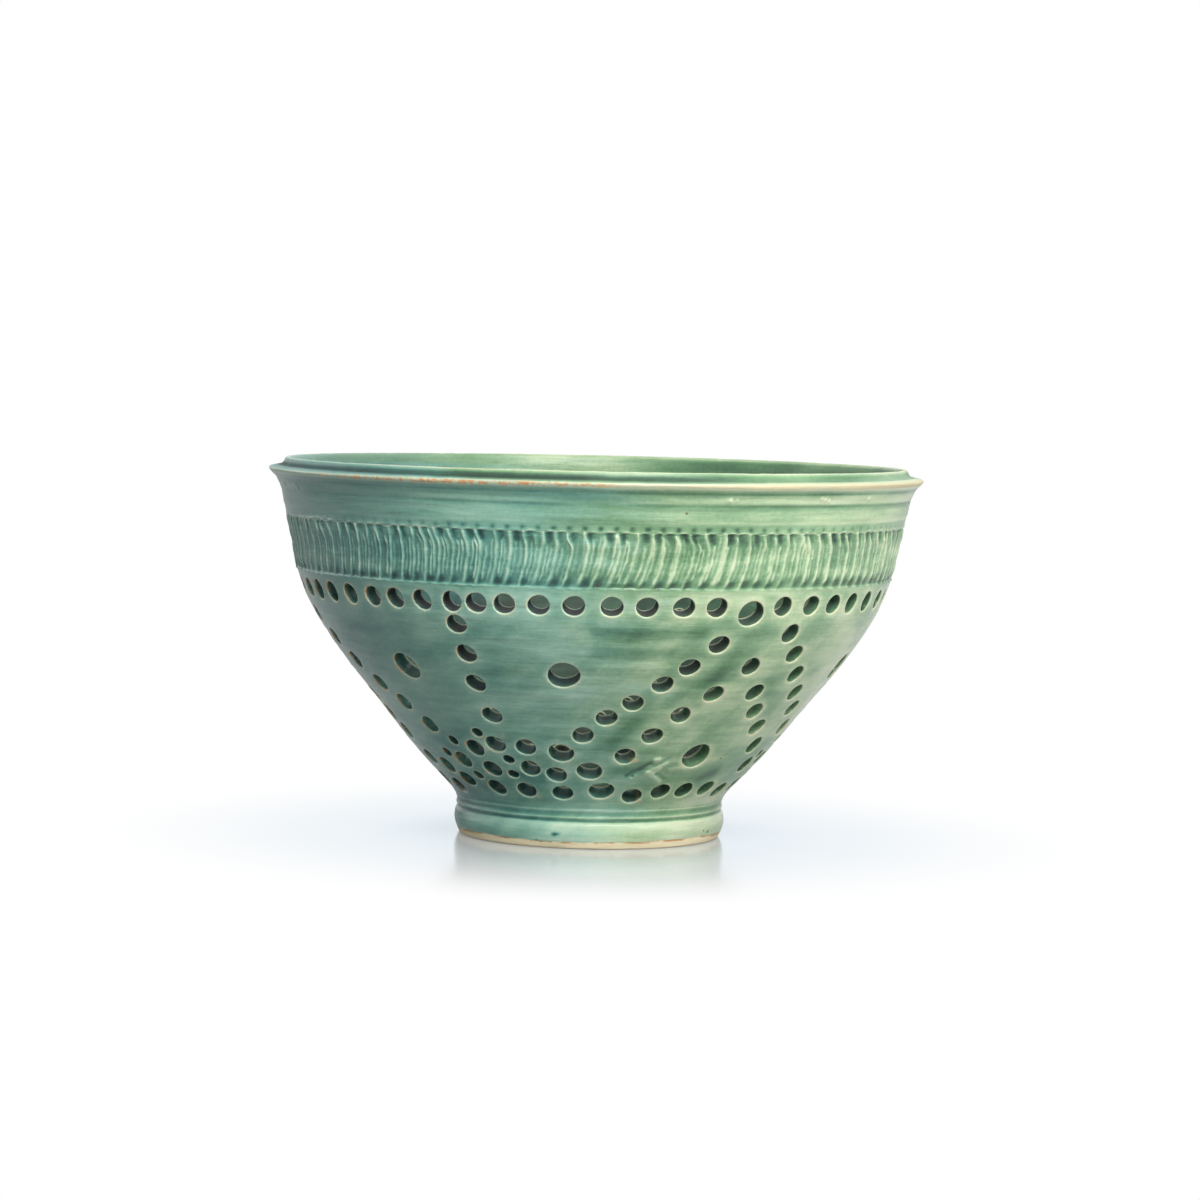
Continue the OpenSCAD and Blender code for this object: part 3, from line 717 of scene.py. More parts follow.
# %% The strokes: where each ridge stands, how tall it is and how it leans
STROKES = 133
RIDGES = 3 * STROKES
PITCH = 360 / RIDGES
HALF_STROKE = 1.5 * PITCH
BAND_LOW, BAND_TOP, BAND_EDGE = BELLY_TOP, 88.0, 86.1
ACROSS = np.array([0, 0.17, 0.4, 0.62, 0.84])
main = np.arange(RIDGES) % 3 == 0
stroke = np.arange(RIDGES) // 3
ridge_at = -180 + PITCH * np.arange(RIDGES)
broad_side = np.clip(0.5 + 0.9 * np.sin(np.radians(ridge_at - 5)) + rng.uniform(-0.25, 0.25, RIDGES), 0, 1)
ridge_at = ridge_at + rng.uniform(-0.2, 0.2, RIDGES)
ridge_h = np.where(main, rng.uniform(0.34, 0.54, RIDGES), rng.uniform(0.12, 0.5, RIDGES))
ridge_w = np.where(main, rng.uniform(0.2, 0.3, RIDGES), rng.uniform(0.16, 0.24, RIDGES))
ridge_w = ridge_w * (1 + np.where(main, 0.75, 0.3) * broad_side)
pressed = 0.4 + 0.6 * step(ridge_at, -65, -35) * (1 - 0.55 * step(ridge_at, 12, 50))
ridge_h = ridge_h * np.where(main, 1, pressed)
ridge_lo = np.where(main, rng.uniform(71.4, 72.6, RIDGES), rng.uniform(72.6, 75.2, RIDGES))
ridge_lo = ridge_lo + 0.8 * broad_side
ridge_hi = np.where(main, rng.uniform(85.2, 86.3, RIDGES), rng.uniform(81.5, 85.8, RIDGES))
fork = np.where(main, rng.choice([-0.9, -0.4, 0, 0.3, 0.7], RIDGES),
                rng.choice([-0.7, -0.3, 0, 0.4], RIDGES))
lean = (0.2 + 1.3 * bump(ridge_at - 5, 22) - 1.5 * step(ridge_at, 25, 60)
        + 0.35 * waves(np.radians(ridge_at), (5, 9, 14, 23), 3) + rng.uniform(-0.15, 0.15, RIDGES))
breaks = rng.uniform(0, 2 * np.pi, (4, RIDGES))
DOT_START = 1.05
print(STROKES, "strokes of the comb,", RIDGES, "ridges up to %.2f mm tall" % ridge_h.max())

# %% The grid that follows them
band_z = np.concatenate([np.linspace(BAND_LOW, 72.4, 5)[:-1], np.linspace(72.4, 85.0, 27)[:-1],
                         np.linspace(85.0, 87.6, 11), [BAND_TOP]])
tall = (band_z - BAND_LOW) / (BAND_EDGE - BAND_LOW)
sway = spline([0, 0.2, 0.45, 0.7, 0.85, 1, 1.15], [-1.1, -0.6, -0.15, 0, -0.15, -0.5, -0.7], tall)
z, up = band_z[:, None], tall[:, None]
crinkle = 0.06 * np.cos(z * 0.9 + breaks[2]) + 0.03 * np.cos(z * 2.3 + breaks[3])
crest_at = (ridge_at + sway[:, None] + lean * (up - 0.5) + fork * step(up, 0.68, 0.95)
            + crinkle * step(up, 0.05, 0.2))


def gaps(at):
    """From each ridge to the next one, in degrees, all the way round."""
    return np.diff(np.concatenate([at, at[:, :1] + 360], 1), axis=1)


# Ridges that lean into one another are pushed apart a little, again and again.
for _ in range(40):
    push = np.maximum(0.3 - gaps(crest_at), 0) / 2
    crest_at = crest_at + np.roll(push, 1, 1) - push
gap = np.maximum(gaps(crest_at), 0.05)
column_at = crest_at[:, :, None] + ACROSS * gap[:, :, None]
from_left, from_right = ACROSS * gap[:, :, None], (1 - ACROSS) * gap[:, :, None]
print("grid of the band:", column_at.shape, "rows, ridges and columns a ridge")


# %% The relief of the band
def next_right(values):
    """The same values for the next ridge to the right."""
    return np.roll(values, -1, -1)


def round_hill(degrees, middle, half_width):
    """A smooth hill round the pot, 1 at the angle `middle`; all of them are in degrees."""
    return bump(round_trip(np.radians(degrees - middle)), np.radians(half_width))


# First the ridges, then the recess that they stand in, the hollows at both ends of each stroke,
# the dots above it, the ragged edges and the grit.
broken = 0.75 + 0.25 * np.cos(z * 1.1 + breaks[0]) * np.cos(z * 0.43 + breaks[1])
reach = step(z, ridge_lo - 0.7, ridge_lo + 0.9) * (1 - step(z, ridge_hi - 0.5, ridge_hi + 0.5)) * broken
crest = ((ridge_h * reach)[:, :, None] * bump(from_left, ridge_w[:, None])
         + next_right(ridge_h * reach)[:, :, None] * bump(from_right, next_right(ridge_w)[:, None]))
z = z[:, :, None]
middle_d = column_at - crest_at[:, stroke * 3][:, :, None] - HALF_STROKE
hollow, scoop, dot = (rng.uniform(lo, 1, STROKES)[stroke][:, None] for lo in (0.35, 0.35, 0.7))
skew = rng.uniform(-0.4, 0.4, (2, STROKES))[:, stroke][:, :, None]
front = round_hill(ridge_at, 6, 45)[:, None]
recess = step(z, 71.75, 72.3) * (1 - step(z, BAND_EDGE - 0.25, BAND_EDGE + 0.25))
low_pool = hollow * bump(middle_d + 0.5 + skew[0], 0.9) * bump(z - 72.9, 1.35)
low_pool = low_pool * (1 + round_hill(column_at, 60, 20))
high_scoop = scoop * bump(middle_d + 0.3 + skew[1], 0.62) * step(z, 82.6, 84.6) * (1 - step(z, 85.8, 86.3))
even = (column_at - DOT_START + HALF_STROKE) % (2 * HALF_STROKE) - HALF_STROKE
dots = dot * (0.15 + 0.85 * front) * bump(even, 0.46) * bump(z - 86.98, 0.58)
ragged = 0.2 * waves(np.radians(column_at), (31, 57, 83), 5)
scallop = np.cos(np.pi * middle_d / HALF_STROKE)
edge_line = bump(z - BAND_EDGE - 0.16 * scallop - ragged, 0.17)
burr = bump(z - 71.65 - 0.8 * ragged - 0.25 * scallop, 0.24)
burr = burr * (0.55 + 0.45 * waves(np.radians(column_at), (7, 19, 37), 6))
burr = burr * (1 - 0.75 * round_hill(column_at, 28, 22))
fade = step(z, BAND_LOW, 71.5) * (1 - step(z, 87.5, BAND_TOP))
grit = rng.uniform(-1, 1, column_at.shape) * step(z, 72, 73.5) * (1 - step(z, 85.5, 86.2))
relief = fade * (crest - 0.32 * recess - 0.16 * low_pool - 0.3 * high_scoop - 0.2 * dots
                 + 0.12 * edge_line + 0.26 * burr + 0.022 * grit)
print("band relief from %.2f to %.2f mm" % (relief.min(), relief.max()))

# %% The band as one closed mesh, with a plain inside
band_r = spline([BAND_LOW, 75, 80.4, 86.2, 87, BAND_TOP],
                [WALL_R[-1], 81.75, 82.7, 84.0, 84.08, 84.3], band_z)
INNER_LOW, INNER_HIGH = (in_r[-1], in_z[-1]), (80.2, BAND_TOP)
inner_rows = 3
back = np.linspace(1, 0, inner_rows)
shape = (inner_rows, RIDGES, len(ACROSS))
outer_band = turn(band_r[:, None, None] + relief, np.radians(column_at), z)
inner_at = column_at[-1] * back[:, None, None] + column_at[0] * (1 - back[:, None, None])
inner_r, inner_z = (low + (high - low) * back for low, high in zip(INNER_LOW, INNER_HIGH))
inner_band = turn(inner_r[:, None, None], np.radians(inner_at), inner_z[:, None, None])
band_rows = len(band_z) + inner_rows
band_xyz = np.concatenate([outer_band, inner_band]).reshape(band_rows, -1, 3)
columns = band_xyz.shape[1]
cream = np.minimum((2.15 - step(column_at, -70, -35)) * crest, 0.43)
band_thin = fade * np.clip(cream + 0.75 * edge_line + 0.4 * burr + 0.06 * grit, 0, 0.9)
hollows = 0.34 * recess * (1 - 3 * crest) + 0.75 * (low_pool + high_scoop) + 0.85 * dots
band_pool = fade * np.clip(hollows - 0.06 * grit, 0, 0.95) + 0.06 * bump(z - 87.6, 0.9)
row_seam = np.zeros(band_rows, int)
row_seam[[0, len(band_z) - 1, len(band_z), -1]] = 1, 2, 3, 4


def with_inside(values, inside=0.0):
    """One number per vertex: the outside's values, then one number or one per row for the inside."""
    values = np.broadcast_to(values, outer_band.shape[:3])
    return np.concatenate([values, np.broadcast_to(inside, shape)]).ravel()


# The band's inside is darker towards the bottom, as the wall's inside is: partly pooled glaze and partly
# painted shade.
band = make_piece("combed_band", band_xyz.reshape(-1, 3), [ring_faces(band_rows, columns)], glaze,
                  np.repeat(row_seam, columns), thin=with_inside(band_thin),
                  pool=with_inside(band_pool, (1 - step(inner_z, 71, 93))[:, None, None]),
                  rust=with_inside(0.12 * np.clip(low_pool - 0.6, 0, 1)))

# %% [markdown]
# ## The rim
# Above the band the wall turns out into a thin flange with a narrow lip standing on it. A Screw
# modifier could turn its profile round, but it would come out perfectly even. As an array each
# place can wander a little, and crumbs of glaze can stand on it. The glaze has run off both
# edges, so they are cream, burnt orange where the flame caught them, and it has pooled in the
# hollow between them and in the fine grooves under the flange. So each place of the profile says
# how thin or how deep the glaze is.

# %% The rim's profile, up the outside, over the lip and down the inside
# Each place is [radius, height, thin, pool], here and in the profiles below.
RIM = [[84.3, 88.0, 0, 0.06], [84.5, 88.8, 0.35, 0], [84.75, 89.5, 0.12, 0], [84.95, 90.5, 0.06, 0],
       [85.15, 91.6, 0.1, 0], [85.33, 92.5, 0, 0.2], [85.45, 93.1, 0, 0.42], [85.78, 93.8, 0.3, 0],
       [86.2, 94.8, 0.3, 0], [86.65, 95.7, 0.2, 0.1], [86.95, 96.2, 0, 0.4], [87.6, 96.9, 0.1, 0],
       [88.35, 97.6, 0.5, 0], [88.75, 98.1, 0.8, 0], [88.88, 98.5, 0.8, 0], [88.75, 98.8, 0.4, 0],
       [88.3, 98.98, 0, 0.15], [87.5, 99.2, 0, 0.4], [86.7, 99.32, 0, 0.6], [85.9, 99.45, 0, 0.8],
       [85.25, 99.82, 0, 0.85], [84.8, 100.4, 0, 0.6], [84.55, 100.95, 0.1, 0.2], [84.25, 101.33, 0.35, 0],
       [83.9, 101.47, 0.75, 0], [83.45, 101.4, 0.45, 0], [83.05, 101.12, 0.1, 0], [82.75, 100.65, 0.05, 0],
       [82.5, 100.0, 0, 0.1], [81.9, 97.0, 0, 0.1], [81.0, 93.0, 0, 0.15], [80.45, 90.0, 0, 0.18],
       [INNER_HIGH[0], INNER_HIGH[1], 0, 0.2]]
OUTSIDE_STEPS = 14
RIM_STEPS = [3, 2, 3, 3, 3, 3, 3, 4, 3, 3, 4, 4, 3, 3, 2, 2, 2, 2, 2, 3, 3, 2, 2, 2, 2, 2, 2, 2, 5, 5, 4, 3]
rim_row = through(RIM, RIM_STEPS)
print("rim profile:", len(rim_row), "rows, widest %.2f mm, highest %.2f mm" % tuple(rim_row[:, :2].max(0)))

# %% Crumbs of glaze under the flange, and the columns they need
# A crumb is [angle, z, half width, height].
CRUMBS = [[23.2, 94.6, 0.6, 0.5], [24.4, 94.7, 0.35, 0.35], [42, 95, 0.55, 0.45],
          [42.9, 94.7, 0.6, 0.55], [43.9, 94.5, 0.45, 0.45], [55.2, 94.8, 0.55, 0.5],
          [-66.5, 94.6, 0.6, 0.3], [-65.8, 94, 0.4, 0.25], [-74, 94.6, 0.5, 0.25],
          [137, 94.5, 0.6, 0.45], [-128, 93.9, 0.6, 0.4]]
near_crumbs = [c[0] + np.linspace(-1.1, 1.1, 12) for c in CRUMBS]
rim_angle = np.concatenate([np.linspace(-180, 180, 720, endpoint=False), *near_crumbs])
rim_angle = np.unique(np.round(rim_angle, 3))
rim_angle = np.radians(rim_angle[np.concatenate([[True], np.diff(rim_angle) > 0.05])])
r, z, thin, pool = (rim_row[:, k, None] for k in range(4))
on_outside = (np.arange(len(rim_row)) < sum(RIM_STEPS[:OUTSIDE_STEPS]))[:, None]
crumb = sum(height * bump(np.hypot(round_trip(rim_angle - np.radians(a)) * 86, z - h), half)
            for a, h, half, height in CRUMBS) * on_outside
held = step(z, BAND_TOP, BAND_TOP + 4)
print(len(CRUMBS), "crumbs of glaze,", len(rim_angle), "columns round the rim")

# %% The rim's unevenness
wobble = held * 0.14 * waves(rim_angle, (2, 3, 5), 21) * (1 - step(z, 97, 98.4))
ripple = on_outside * held * 0.035 * np.cos(2 * np.pi * z / 1.9 + 4 * np.sin(rim_angle) + 2 * rim_angle)
nicked = step(z, 97.9, 98.5) * 0.08 * waves(rim_angle, (17, 29, 43, 61), 22)
rim_z = z + held * 0.08 * waves(rim_angle, (2, 3, 4), 23) * step(z, 96, 98) - np.abs(nicked)
rim_xyz = turn(r + wobble + ripple + crumb - np.abs(nicked), rim_angle, rim_z)
print("the rim wobbles by %.2f mm" % np.abs(wobble).max())

# %% Where the glaze ran off the rim, where light and shade are painted on it, and the rim as one closed mesh
drift = waves(rim_angle, (3, 7, 12, 19), 24)
deg = np.degrees(rim_angle)
# Painted light: from the front round to the right, where the lamp falls, the edges are painted paler and,
# high on the rim, the glaze is painted less pooled. The other side is left darker, a painted shade.
painted_light_side = step(deg, -12, 34) * (1 - step(deg, 115, 150))
low = z < 97.3
on_inside = 1 - on_outside
rim_thin_and_light = thin * np.where(low, 0.25 + 0.75 * painted_light_side + 0.5 * drift, 0.85 + 0.15 * painted_light_side + 0.2 * drift)
rim_thin_and_light = rim_thin_and_light + on_outside * 0.38 * painted_light_side * step(z, 96.9, 97.7)
rim_thin_and_light = rim_thin_and_light * (1 - 0.6 * step(np.abs(deg), 95, 120) * (z > 99.5))
flange_top = 0.15 * bump(z - 99.9, 0.8) * (r > 83.6) + 0.5 * (r > 86.5)
# Painted light: the flange's top is painted paler on the lit side.
painted_light_flange = step(deg, 8, 40) * (1 - step(deg, 110, 150))
rim_thin_and_light = np.clip(rim_thin_and_light + 0.9 * crumb + flange_top * on_inside * painted_light_flange, 0, 1)
# Painted shade: the inside of the far wall, at the back on the right, is painted darker.
painted_shade_back = step(np.sin(rim_angle), -0.1, 0.5) * step(-np.cos(rim_angle), 0, 0.3) * on_inside * (r < 82.8)
rim_pool_and_shade = pool * np.where(low, 0.45 + 0.7 * painted_light_side + 0.5 * drift, 1.25 - 0.65 * painted_light_side) + 0.4 * painted_shade_back
rim_pool_and_shade = rim_pool_and_shade + 0.3 * on_outside * bump(z - 95.2, 1.3) * bump(deg + 8, 22)
rim_pool_and_shade = np.clip(rim_pool_and_shade + 0.16 * bump(deg - 3, 14) * (z < 97), 0, 1)
burnt = step(deg, -66, -38) * (1 - step(deg, -2, 8)) + 0.8 * bump(deg - 128, 26)
burnt = np.clip(burnt + 0.7 * bump(deg + 140, 18), 0, 1)
at_edge = step(rim_thin_and_light, 0.3, 0.6)
rim_rust = np.where(z < 99.2, 0.8, 0.6) * burnt * at_edge + 0.05 * at_edge
rim_seam = np.zeros(len(rim_row), int)
rim_seam[[0, -1]] = 1, 2
rim = make_piece("flanged_rim", rim_xyz.reshape(-1, 3), [ring_faces(len(rim_row), len(rim_angle))], glaze,
                 np.repeat(rim_seam, len(rim_angle)), thin=rim_thin_and_light, pool=rim_pool_and_shade, rust=rim_rust)

# %% [markdown]
# ## The floor and the neck under it
# The floor is a disc with seven drain holes. It could be a bisected solid, but it is filled with
# triangles as the wall was, so that its holes get the same soft edges. One layout serves the
# glazed top and the bare underside, where the turning tool left its rings. The neck that joins it
# to the foot is a short profile with two fine ridges.

# %% Layout of the disc
FLOOR_R, NECK_R, NECK_Z = FLOOR_CORNER[0], 36.0, 7.4
RIM_POINTS = 240
round_by, floor_hole_r, hole_circle_r = 0.7, 2.5, 17.0
sixths = np.arange(6) * np.pi / 3
floor_holes = np.concatenate([[[0, 0]], turn(hole_circle_r, sixths, 0)[:, :2]])
circle = -np.pi + 2 * np.pi * np.arange(RIM_POINTS) / RIM_POINTS
border = np.column_stack([FLOOR_R * np.sin(circle), -FLOOR_R * np.cos(circle)])
ring_xy = np.column_stack([np.cos(ring_turn), np.sin(ring_turn)])
lips = (floor_holes[:, None] + (floor_hole_r + round_by) * ring_xy).reshape(-1, 2)
i, j = np.meshgrid(np.arange(-40, 41), np.arange(-40, 41), indexing="ij")
hexes = 1.1 * np.column_stack([(i + 0.5 * (j % 2)).ravel(), (j * 0.866).ravel()])
clearance = 0.6
off_holes = np.hypot(*(hexes[:, None] - floor_holes).transpose(2, 0, 1)).min(1)
off_holes = off_holes > floor_hole_r + round_by + clearance
hexes = hexes[off_holes & (np.hypot(*hexes.T) < FLOOR_R - clearance)]
disc = np.concatenate([border, lips, hexes])
disc_ring = np.full(len(disc), -1)
disc_ring[RIM_POINTS:RIM_POINTS + len(lips)] = np.repeat(np.arange(len(floor_holes)), AROUND)
loops = RIM_POINTS + np.arange(len(lips)).reshape(-1, AROUND)
edges = np.concatenate([np.column_stack([np.arange(RIM_POINTS), np.roll(np.arange(RIM_POINTS), -1)]),
                        np.stack([loops, np.roll(loops, -1, 1)], -1).reshape(-1, 2)])
disc_faces = fill_sheet(disc[:, 0], disc[:, 1], disc_ring, edges)
print("floor:", len(disc), "places,", len(disc_faces), "triangles")


# %% How high the floor's two sides lie
FLOOR_MIDDLE = 13.9


def floor_top(radius):
    """Height of the dished floor: FLOOR_MIDDLE, rising with the cube of the radius to the wall."""
    rings = 0.05 * np.cos(2 * np.pi * radius / 4.3) * (1 - step(radius, 28, FLOOR_R))
    return FLOOR_MIDDLE + (FLOOR_CORNER[1] - FLOOR_MIDDLE) * (radius / FLOOR_R) ** 3 + rings


def floor_under(radius):
    """Height of the underside: flat where it sits on the foot, with turning rings inside it."""
    return NECK_Z + (0.12 + 0.1 * np.cos(2 * np.pi * radius / 2.3)) * (1 - step(radius, 24, 28))


print("floor %.2f to %.2f mm thick" % (floor_top(0) - floor_under(0), FLOOR_CORNER[1] - NECK_Z))

# %% Its two sides and its bores
GROWTH = NECK_R / FLOOR_R
disc_r = np.hypot(*disc.T)
top_xyz = np.column_stack([disc, floor_top(disc_r)])
under_xyz = np.column_stack([disc * GROWTH, floor_under(disc_r * GROWTH)])
lip = RIM_POINTS + np.arange(len(lips))
centre_xy = np.repeat(floor_holes, AROUND, 0)
shares = np.concatenate([1 - np.sin(TURNS), [0], (1 - np.sin(TURNS))[::-1]])
drops = np.concatenate([1 - np.cos(TURNS), [0], (1 - np.cos(TURNS))[::-1]]) * round_by
floor_bore = []
for share, drop, depth in zip(shares, drops, (0, 0, 0, 0.5, 1, 1, 1)):
    size = (floor_hole_r + round_by * share) / (floor_hole_r + round_by)
    bore_xy = centre_xy + (disc[lip] - centre_xy) * size
    above = np.column_stack([bore_xy, top_xyz[lip, 2] - drop])
    below = np.column_stack([GROWTH * bore_xy, under_xyz[lip, 2] + drop])
    floor_bore.append((1 - depth) * above + depth * below)
print(len(floor_holes), "drain holes in the floor")

# %% The neck under it
NECK = [[36.0, NECK_Z, 0, 0.35], [36.12, 7.9, 0, 0.25], [36.36, 8.45, 0.4, 0], [36.24, 8.9, 0, 0.1],
        [36.2, 9.5, 0, 0.25], [36.3, 10.0, 0, 0.1], [36.44, 10.35, 0.4, 0], [WALL_R[0], SEAM_LOW, 0, 0.05]]
neck_row = through(NECK, [3, 3, 3, 3, 3, 3, 3])
neck_thin, neck_pool = (np.repeat(neck_row[1:, k], RIM_POINTS) for k in (2, 3))
neck_xyz = turn(neck_row[1:, :1], circle, neck_row[1:, 1:2]).reshape(-1, 3)
D = len(disc)
base_xyz = np.concatenate([top_xyz, under_xyz, *floor_bore, neck_xyz])
neck_at = 2 * D + len(floor_bore) * len(lips)
levels = [2 * D + k * len(lips) + loops - RIM_POINTS for k in range(len(floor_bore))]
floor_bore_faces = joined([loops, *levels, D + loops])
border_at = np.arange(RIM_POINTS)
belts = [neck_at + k * RIM_POINTS + border_at for k in range(len(neck_row) - 1)]
neck_faces = joined([D + border_at, *belts, border_at])
print("neck:", len(neck_row), "rows")

# %% Its looks and its mesh
to_lip = np.hypot(*(disc[:, None] - floor_holes).transpose(2, 0, 1)).min(1) - floor_hole_r - round_by
floor_halo = 0.7 * np.exp(-np.maximum(to_lip, 0) / 0.75)
in_bores = np.repeat([1.0, 1.0, 0.5, 0.0, 0.2, 0.2, 0.2], len(lips))
base_thin = np.concatenate([floor_halo, np.zeros(D), in_bores, neck_thin])
# The floor's glaze is deeper towards the wall, where it meets the wall's dark inside: partly pooled glaze
# and partly painted shade.
base_pool_and_shade = np.concatenate([0.4 + 0.7 * step(disc_r, 8, 36), np.zeros(D),
                            np.repeat([0.0, 0, 0.3, 0.6, 0.2, 0, 0], len(lips)), neck_pool])
base_bare = np.concatenate([np.zeros(D), np.ones(D), np.repeat([0.0, 0, 0, 0.2, 1, 1, 1], len(lips)),
                            np.zeros(len(neck_xyz))])
base_bare[D:D + RIM_POINTS] = 0
base_pool_and_shade[D:D + RIM_POINTS] = 0.35
base_seam = np.zeros(len(base_xyz), int)
base_seam[:RIM_POINTS], base_seam[D:D + RIM_POINTS], base_seam[-RIM_POINTS:] = 1, 2, 3
floor_piece = make_piece("floor_and_neck", base_xyz,
                         [disc_faces, D + disc_faces[:, ::-1], *floor_bore_faces, *neck_faces],
                         foot_glaze, base_seam, thin=base_thin, pool=base_pool_and_shade,
                         rust=np.zeros(len(base_xyz)), bare=base_bare)

# %% [markdown]
# ## The foot ring
# A thick ring of clay, luted under the floor and turned round outside. Its last 2 mm were wiped
# clean, or the glaze would have stuck the bowl to the kiln shelf, and the bare edge is cream
# with a burnt line where the glaze ends. A spun profile is all it needs, with slow waves, because
# the foot was pressed a little out of round when it was joined.

# %% The foot ring's profile and mesh
FOOT = [[34.8, 0.0, 0, 0], [35.3, 0.15, 0, 0], [35.7, 0.7, 0, 0], [36.15, 1.6, 0.1, 0],
        [36.5, 2.5, 0.45, 0], [36.78, 3.5, 0.3, 0], [36.9, 4.6, 0.34, 0], [36.85, 5.5, 0.42, 0],
        [36.62, 6.4, 0.52, 0], [36.3, 7.0, 0.4, 0], [36.0, NECK_Z, 0, 0.35]]
INSIDE = [[29.0, NECK_Z], [29.0, 4.5], [29.0, 1.7], [29.12, 1.2], [29.45, 0.7], [29.95, 0.22],
          [30.4, 0.0], [32.5, 0.0]]
foot_row = np.concatenate([through(FOOT, [3, 3, 4, 4, 4, 4, 3, 4, 3, 3]),
                           np.column_stack([INSIDE, np.zeros((len(INSIDE), 2))])])
outside_rows = len(foot_row) - len(INSIDE)
foot_angle = -np.pi + 2 * np.pi * np.arange(360) / 360
r, z, thin, pool = (foot_row[:, k, None] for k in range(4))
outer = (np.arange(len(foot_row)) < outside_rows)[:, None]
foot_wave = outer * step(z, 0.3, 1.5) * (1 - step(z, 6.6, 7.4)) * 0.12 * waves(foot_angle, (2, 3, 5, 8), 31)
foot_deg = np.degrees(foot_angle)
roll_line = 6.7 - 0.9 * bump(foot_deg - 24, 4) + 0.35 * waves(foot_angle, (3, 6, 11), 33)
roll = outer * bump(z - roll_line, 0.45)
foot_xyz = turn(r + foot_wave + 0.1 * roll * (z < 7.2), foot_angle, z + np.zeros_like(foot_angle))
# Painted light and shade: the foot's pale glaze is painted paler at the front right, where the lamp falls,
# and, further down, darker on the left, away from it.
foot_thin_and_light = thin * (1 + 0.1 * waves(foot_angle, (4, 9, 15), 32) + 0.3 * bump(foot_deg - 10, 20))
foot_thin_and_light = np.clip(foot_thin_and_light + 0.1 * roll, 0, 0.6)
foot_spots = sum(bump(np.hypot(round_trip(foot_angle - math.radians(a)) * 36.5, z - h), w) * outer
                 for a, h, w in ((-22.4, 1.9, 0.35), (-14.3, 3.9, 0.5), (-12.6, 4.0, 0.35), (61, 3.3, 0.3)))
foot_pool = np.clip(pool + 1.3 * foot_spots, 0, 1)
foot_thin_and_light = foot_thin_and_light * (1 - np.clip(foot_spots, 0, 1)) * (1 - 0.9 * bump(foot_deg + 75, 38))
foot_bare = np.where(outer, 0.0, 1.0) + np.zeros_like(foot_angle)
foot_seam = np.zeros(len(foot_row), int)
foot_seam[[outside_rows - 1, outside_rows]] = 1, 2
foot = make_piece("foot_ring_turned", foot_xyz.reshape(-1, 3), [ring_faces(len(foot_row), len(foot_angle))],
                  foot_glaze, np.repeat(foot_seam, len(foot_angle)), thin=foot_thin_and_light, pool=foot_pool,
                  rust=np.zeros_like(foot_thin_and_light), bare=foot_bare)

# %% What the new pieces stand for
for piece in (wall, band, rim):
    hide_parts("thrown_bowl", "outer_glaze", "liner_glaze")
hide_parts("thrown_bowl", "liner_glaze")
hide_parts("foot_ring", "outer_glaze")
print("five pieces stand for", len(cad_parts), "solids")

# %% [markdown]
# ## The table, the light and the camera
# The bowl stood on a sheet of white acrylic, in soft light from the upper right. Acrylic is
# smooth and gives back a soft, pale image of the foot. The table is white to the camera and keeps
# that faint reflection and a contact shadow. The world lights all round at a plain level. One
# large soft lamp makes the right side brighter than the left, and three weak ones, at both sides
# and behind, keep the turned-away parts from going black. A white backdrop could be lit to white
# instead, but that light would wash out the glaze.


# %% The table
def seen_by(tree, mirrored):
    """1 to the camera and through clear things, `mirrored` in a reflection, and 0 to other light."""
    ray = add(tree, "LightPath").node.outputs
    glossy = add(tree, "Math", ray["Is Glossy Ray"], mirrored, operation="MULTIPLY")
    indirect = add(tree, "Math", glossy, ray["Is Transmission Ray"], operation="MAXIMUM")
    return add(tree, "Math", ray["Is Camera Ray"], indirect, operation="MAXIMUM")


table_mesh = bpy.data.meshes.new("white_table")
table_mesh.from_pydata([(-3, -1.5, 0), (3, -1.5, 0), (3, 4, 0), (-3, 4, 0)], [], [(0, 1, 2, 3)])
table = bpy.data.objects.new("white_table", table_mesh)
bpy.context.scene.collection.objects.link(table)
sheet_white = bpy.data.materials.new("white_acrylic_sheet")
sheet_white.use_nodes = True
t = sheet_white.node_tree
t.nodes.remove(t.nodes["Principled BSDF"])
ground = add(t, "TexCoord", out="Object")
rightward = add(t, "MapRange", add(t, "SeparateXYZ", ground), -0.16, 0.3, **EASED)
away = add(t, "VectorMath", ground, operation="LENGTH", out="Value")
# Painted shade: the light that the table gives back to the bowl is painted dark grey to the left and white
# to the right, so the bowl's low left stays dark.
painted_shade_bounce = add(t, "ValToRGB", rightward, stops=[(0.0, "#7d8286"), (0.55, "#b8babc"), (1.0, "#ffffff")])
shadowed = add(t, "BsdfDiffuse", srgb("#eaf1f4"))
lit = add(t, "Emission", (1, 1, 1, 1), 1.0)
gloss = add(t, "BsdfGlossy", srgb("#e0ebf2"), 0.15)
white = add(t, "MixShader", add(t, "MapRange", away, 0.034, 0.06, 0.6, 1.0, **EASED), shadowed, lit)
white = add(t, "MixShader", add(t, "MapRange", away, 0.036, 0.14, 0.7, 0.0, **EASED), white, gloss)
both = add(t, "MixShader", seen_by(t, 0.5), add(t, "BsdfDiffuse", painted_shade_bounce), white)
t.links.new(both, t.nodes["Material Output"].inputs["Surface"])
table_mesh.materials.append(sheet_white)
print("table:", table.name, "in", sheet_white.name)

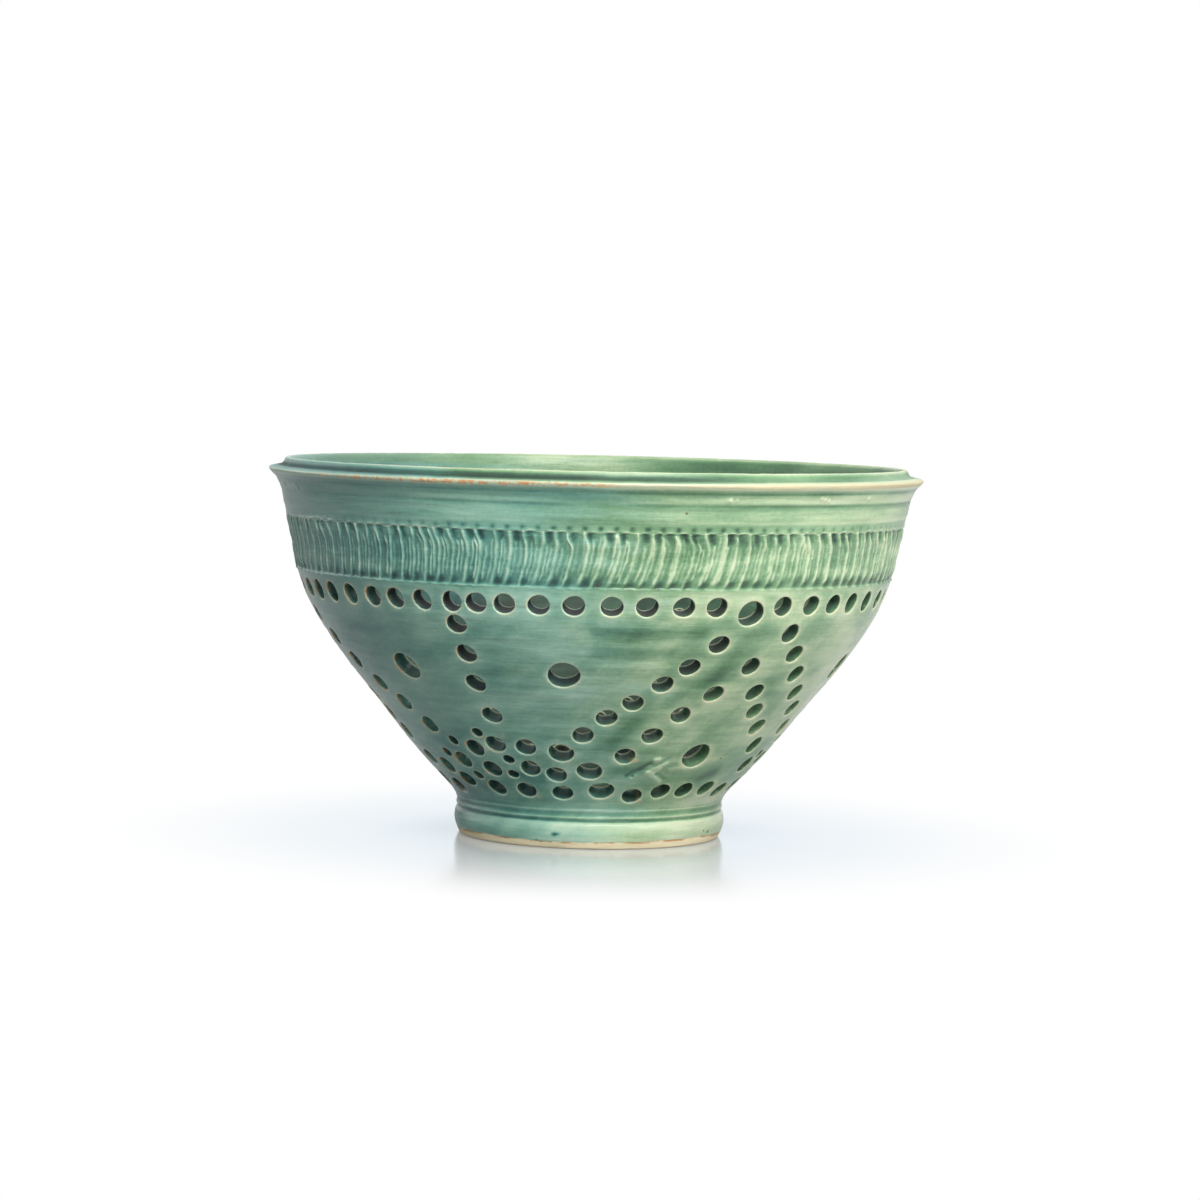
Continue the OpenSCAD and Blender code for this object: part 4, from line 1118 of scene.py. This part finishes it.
# %% The world and the lamps
ROOM = 0.28
scene = bpy.context.scene
scene.view_settings.view_transform = "Standard"
world = bpy.data.worlds.new("white_room")
scene.world = world
world.use_nodes = True
t = world.node_tree
background = t.nodes["Background"]
background.inputs["Color"].default_value = (1, 1, 1, 1)
t.links.new(total(t, ROOM, (seen_by(t, 1.0), 1 - ROOM)), background.inputs["Strength"])


def softbox(name, place, aim, size, power):
    """A square area lamp at a place, turned to its aim; all in metres and watts."""
    lamp = bpy.data.lights.new(name, "AREA")
    lamp.size, lamp.energy = size, power
    box = bpy.data.objects.new(name, lamp)
    box.rotation_euler = (Vector(aim) - Vector(place)).to_track_quat("-Z", "Y").to_euler()
    box.location = place
    scene.collection.objects.link(box)
    return box


softbox("softbox_right", (0.25, -0.84, 0.76), (0, 0, 0.05), 0.6, 19)
softbox("softbox_side", (0.95, -0.25, 0.25), (0, 0, 0.05), 0.7, 0.8)
softbox("softbox_left", (-0.9, 0.3, 0.25), (0, 0, 0.05), 0.7, 2)
softbox("softbox_back", (0.3, 0.9, 1.1), (0, 0, 0.06), 1.2, 2.5)

# %% The camera
# It stands 1.03 m away, looks down by 3.6 degrees and is rolled by 1.3, as in the picture.
LENS, SENSOR, FAR = 113.2, 36.0, 1.03
pitch, tilt = math.radians(3.57), math.radians(1.27)
forward = Vector((0, math.cos(pitch), -math.sin(pitch)))
right, up = Vector((1, 0, 0)), Vector((0, math.sin(pitch), math.cos(pitch)))
sideways = right * math.cos(tilt) + up * math.sin(tilt)
upward = up * math.cos(tilt) - right * math.sin(tilt)
turned = Matrix((sideways, upward, -forward)).transposed().to_4x4()
turned.translation = Vector((0.00175, 0, 0.064)) - forward * FAR
camera_data = bpy.data.cameras.new("camera")
camera_data.lens, camera_data.sensor_width = LENS, SENSOR
camera = bpy.data.objects.new("camera", camera_data)
camera.matrix_world = turned
scene.collection.objects.link(camera)
scene.camera = camera
print("camera:", LENS, "mm lens at", FAR, "m")

# %% The view layer brought up to date
bpy.context.view_layer.update()
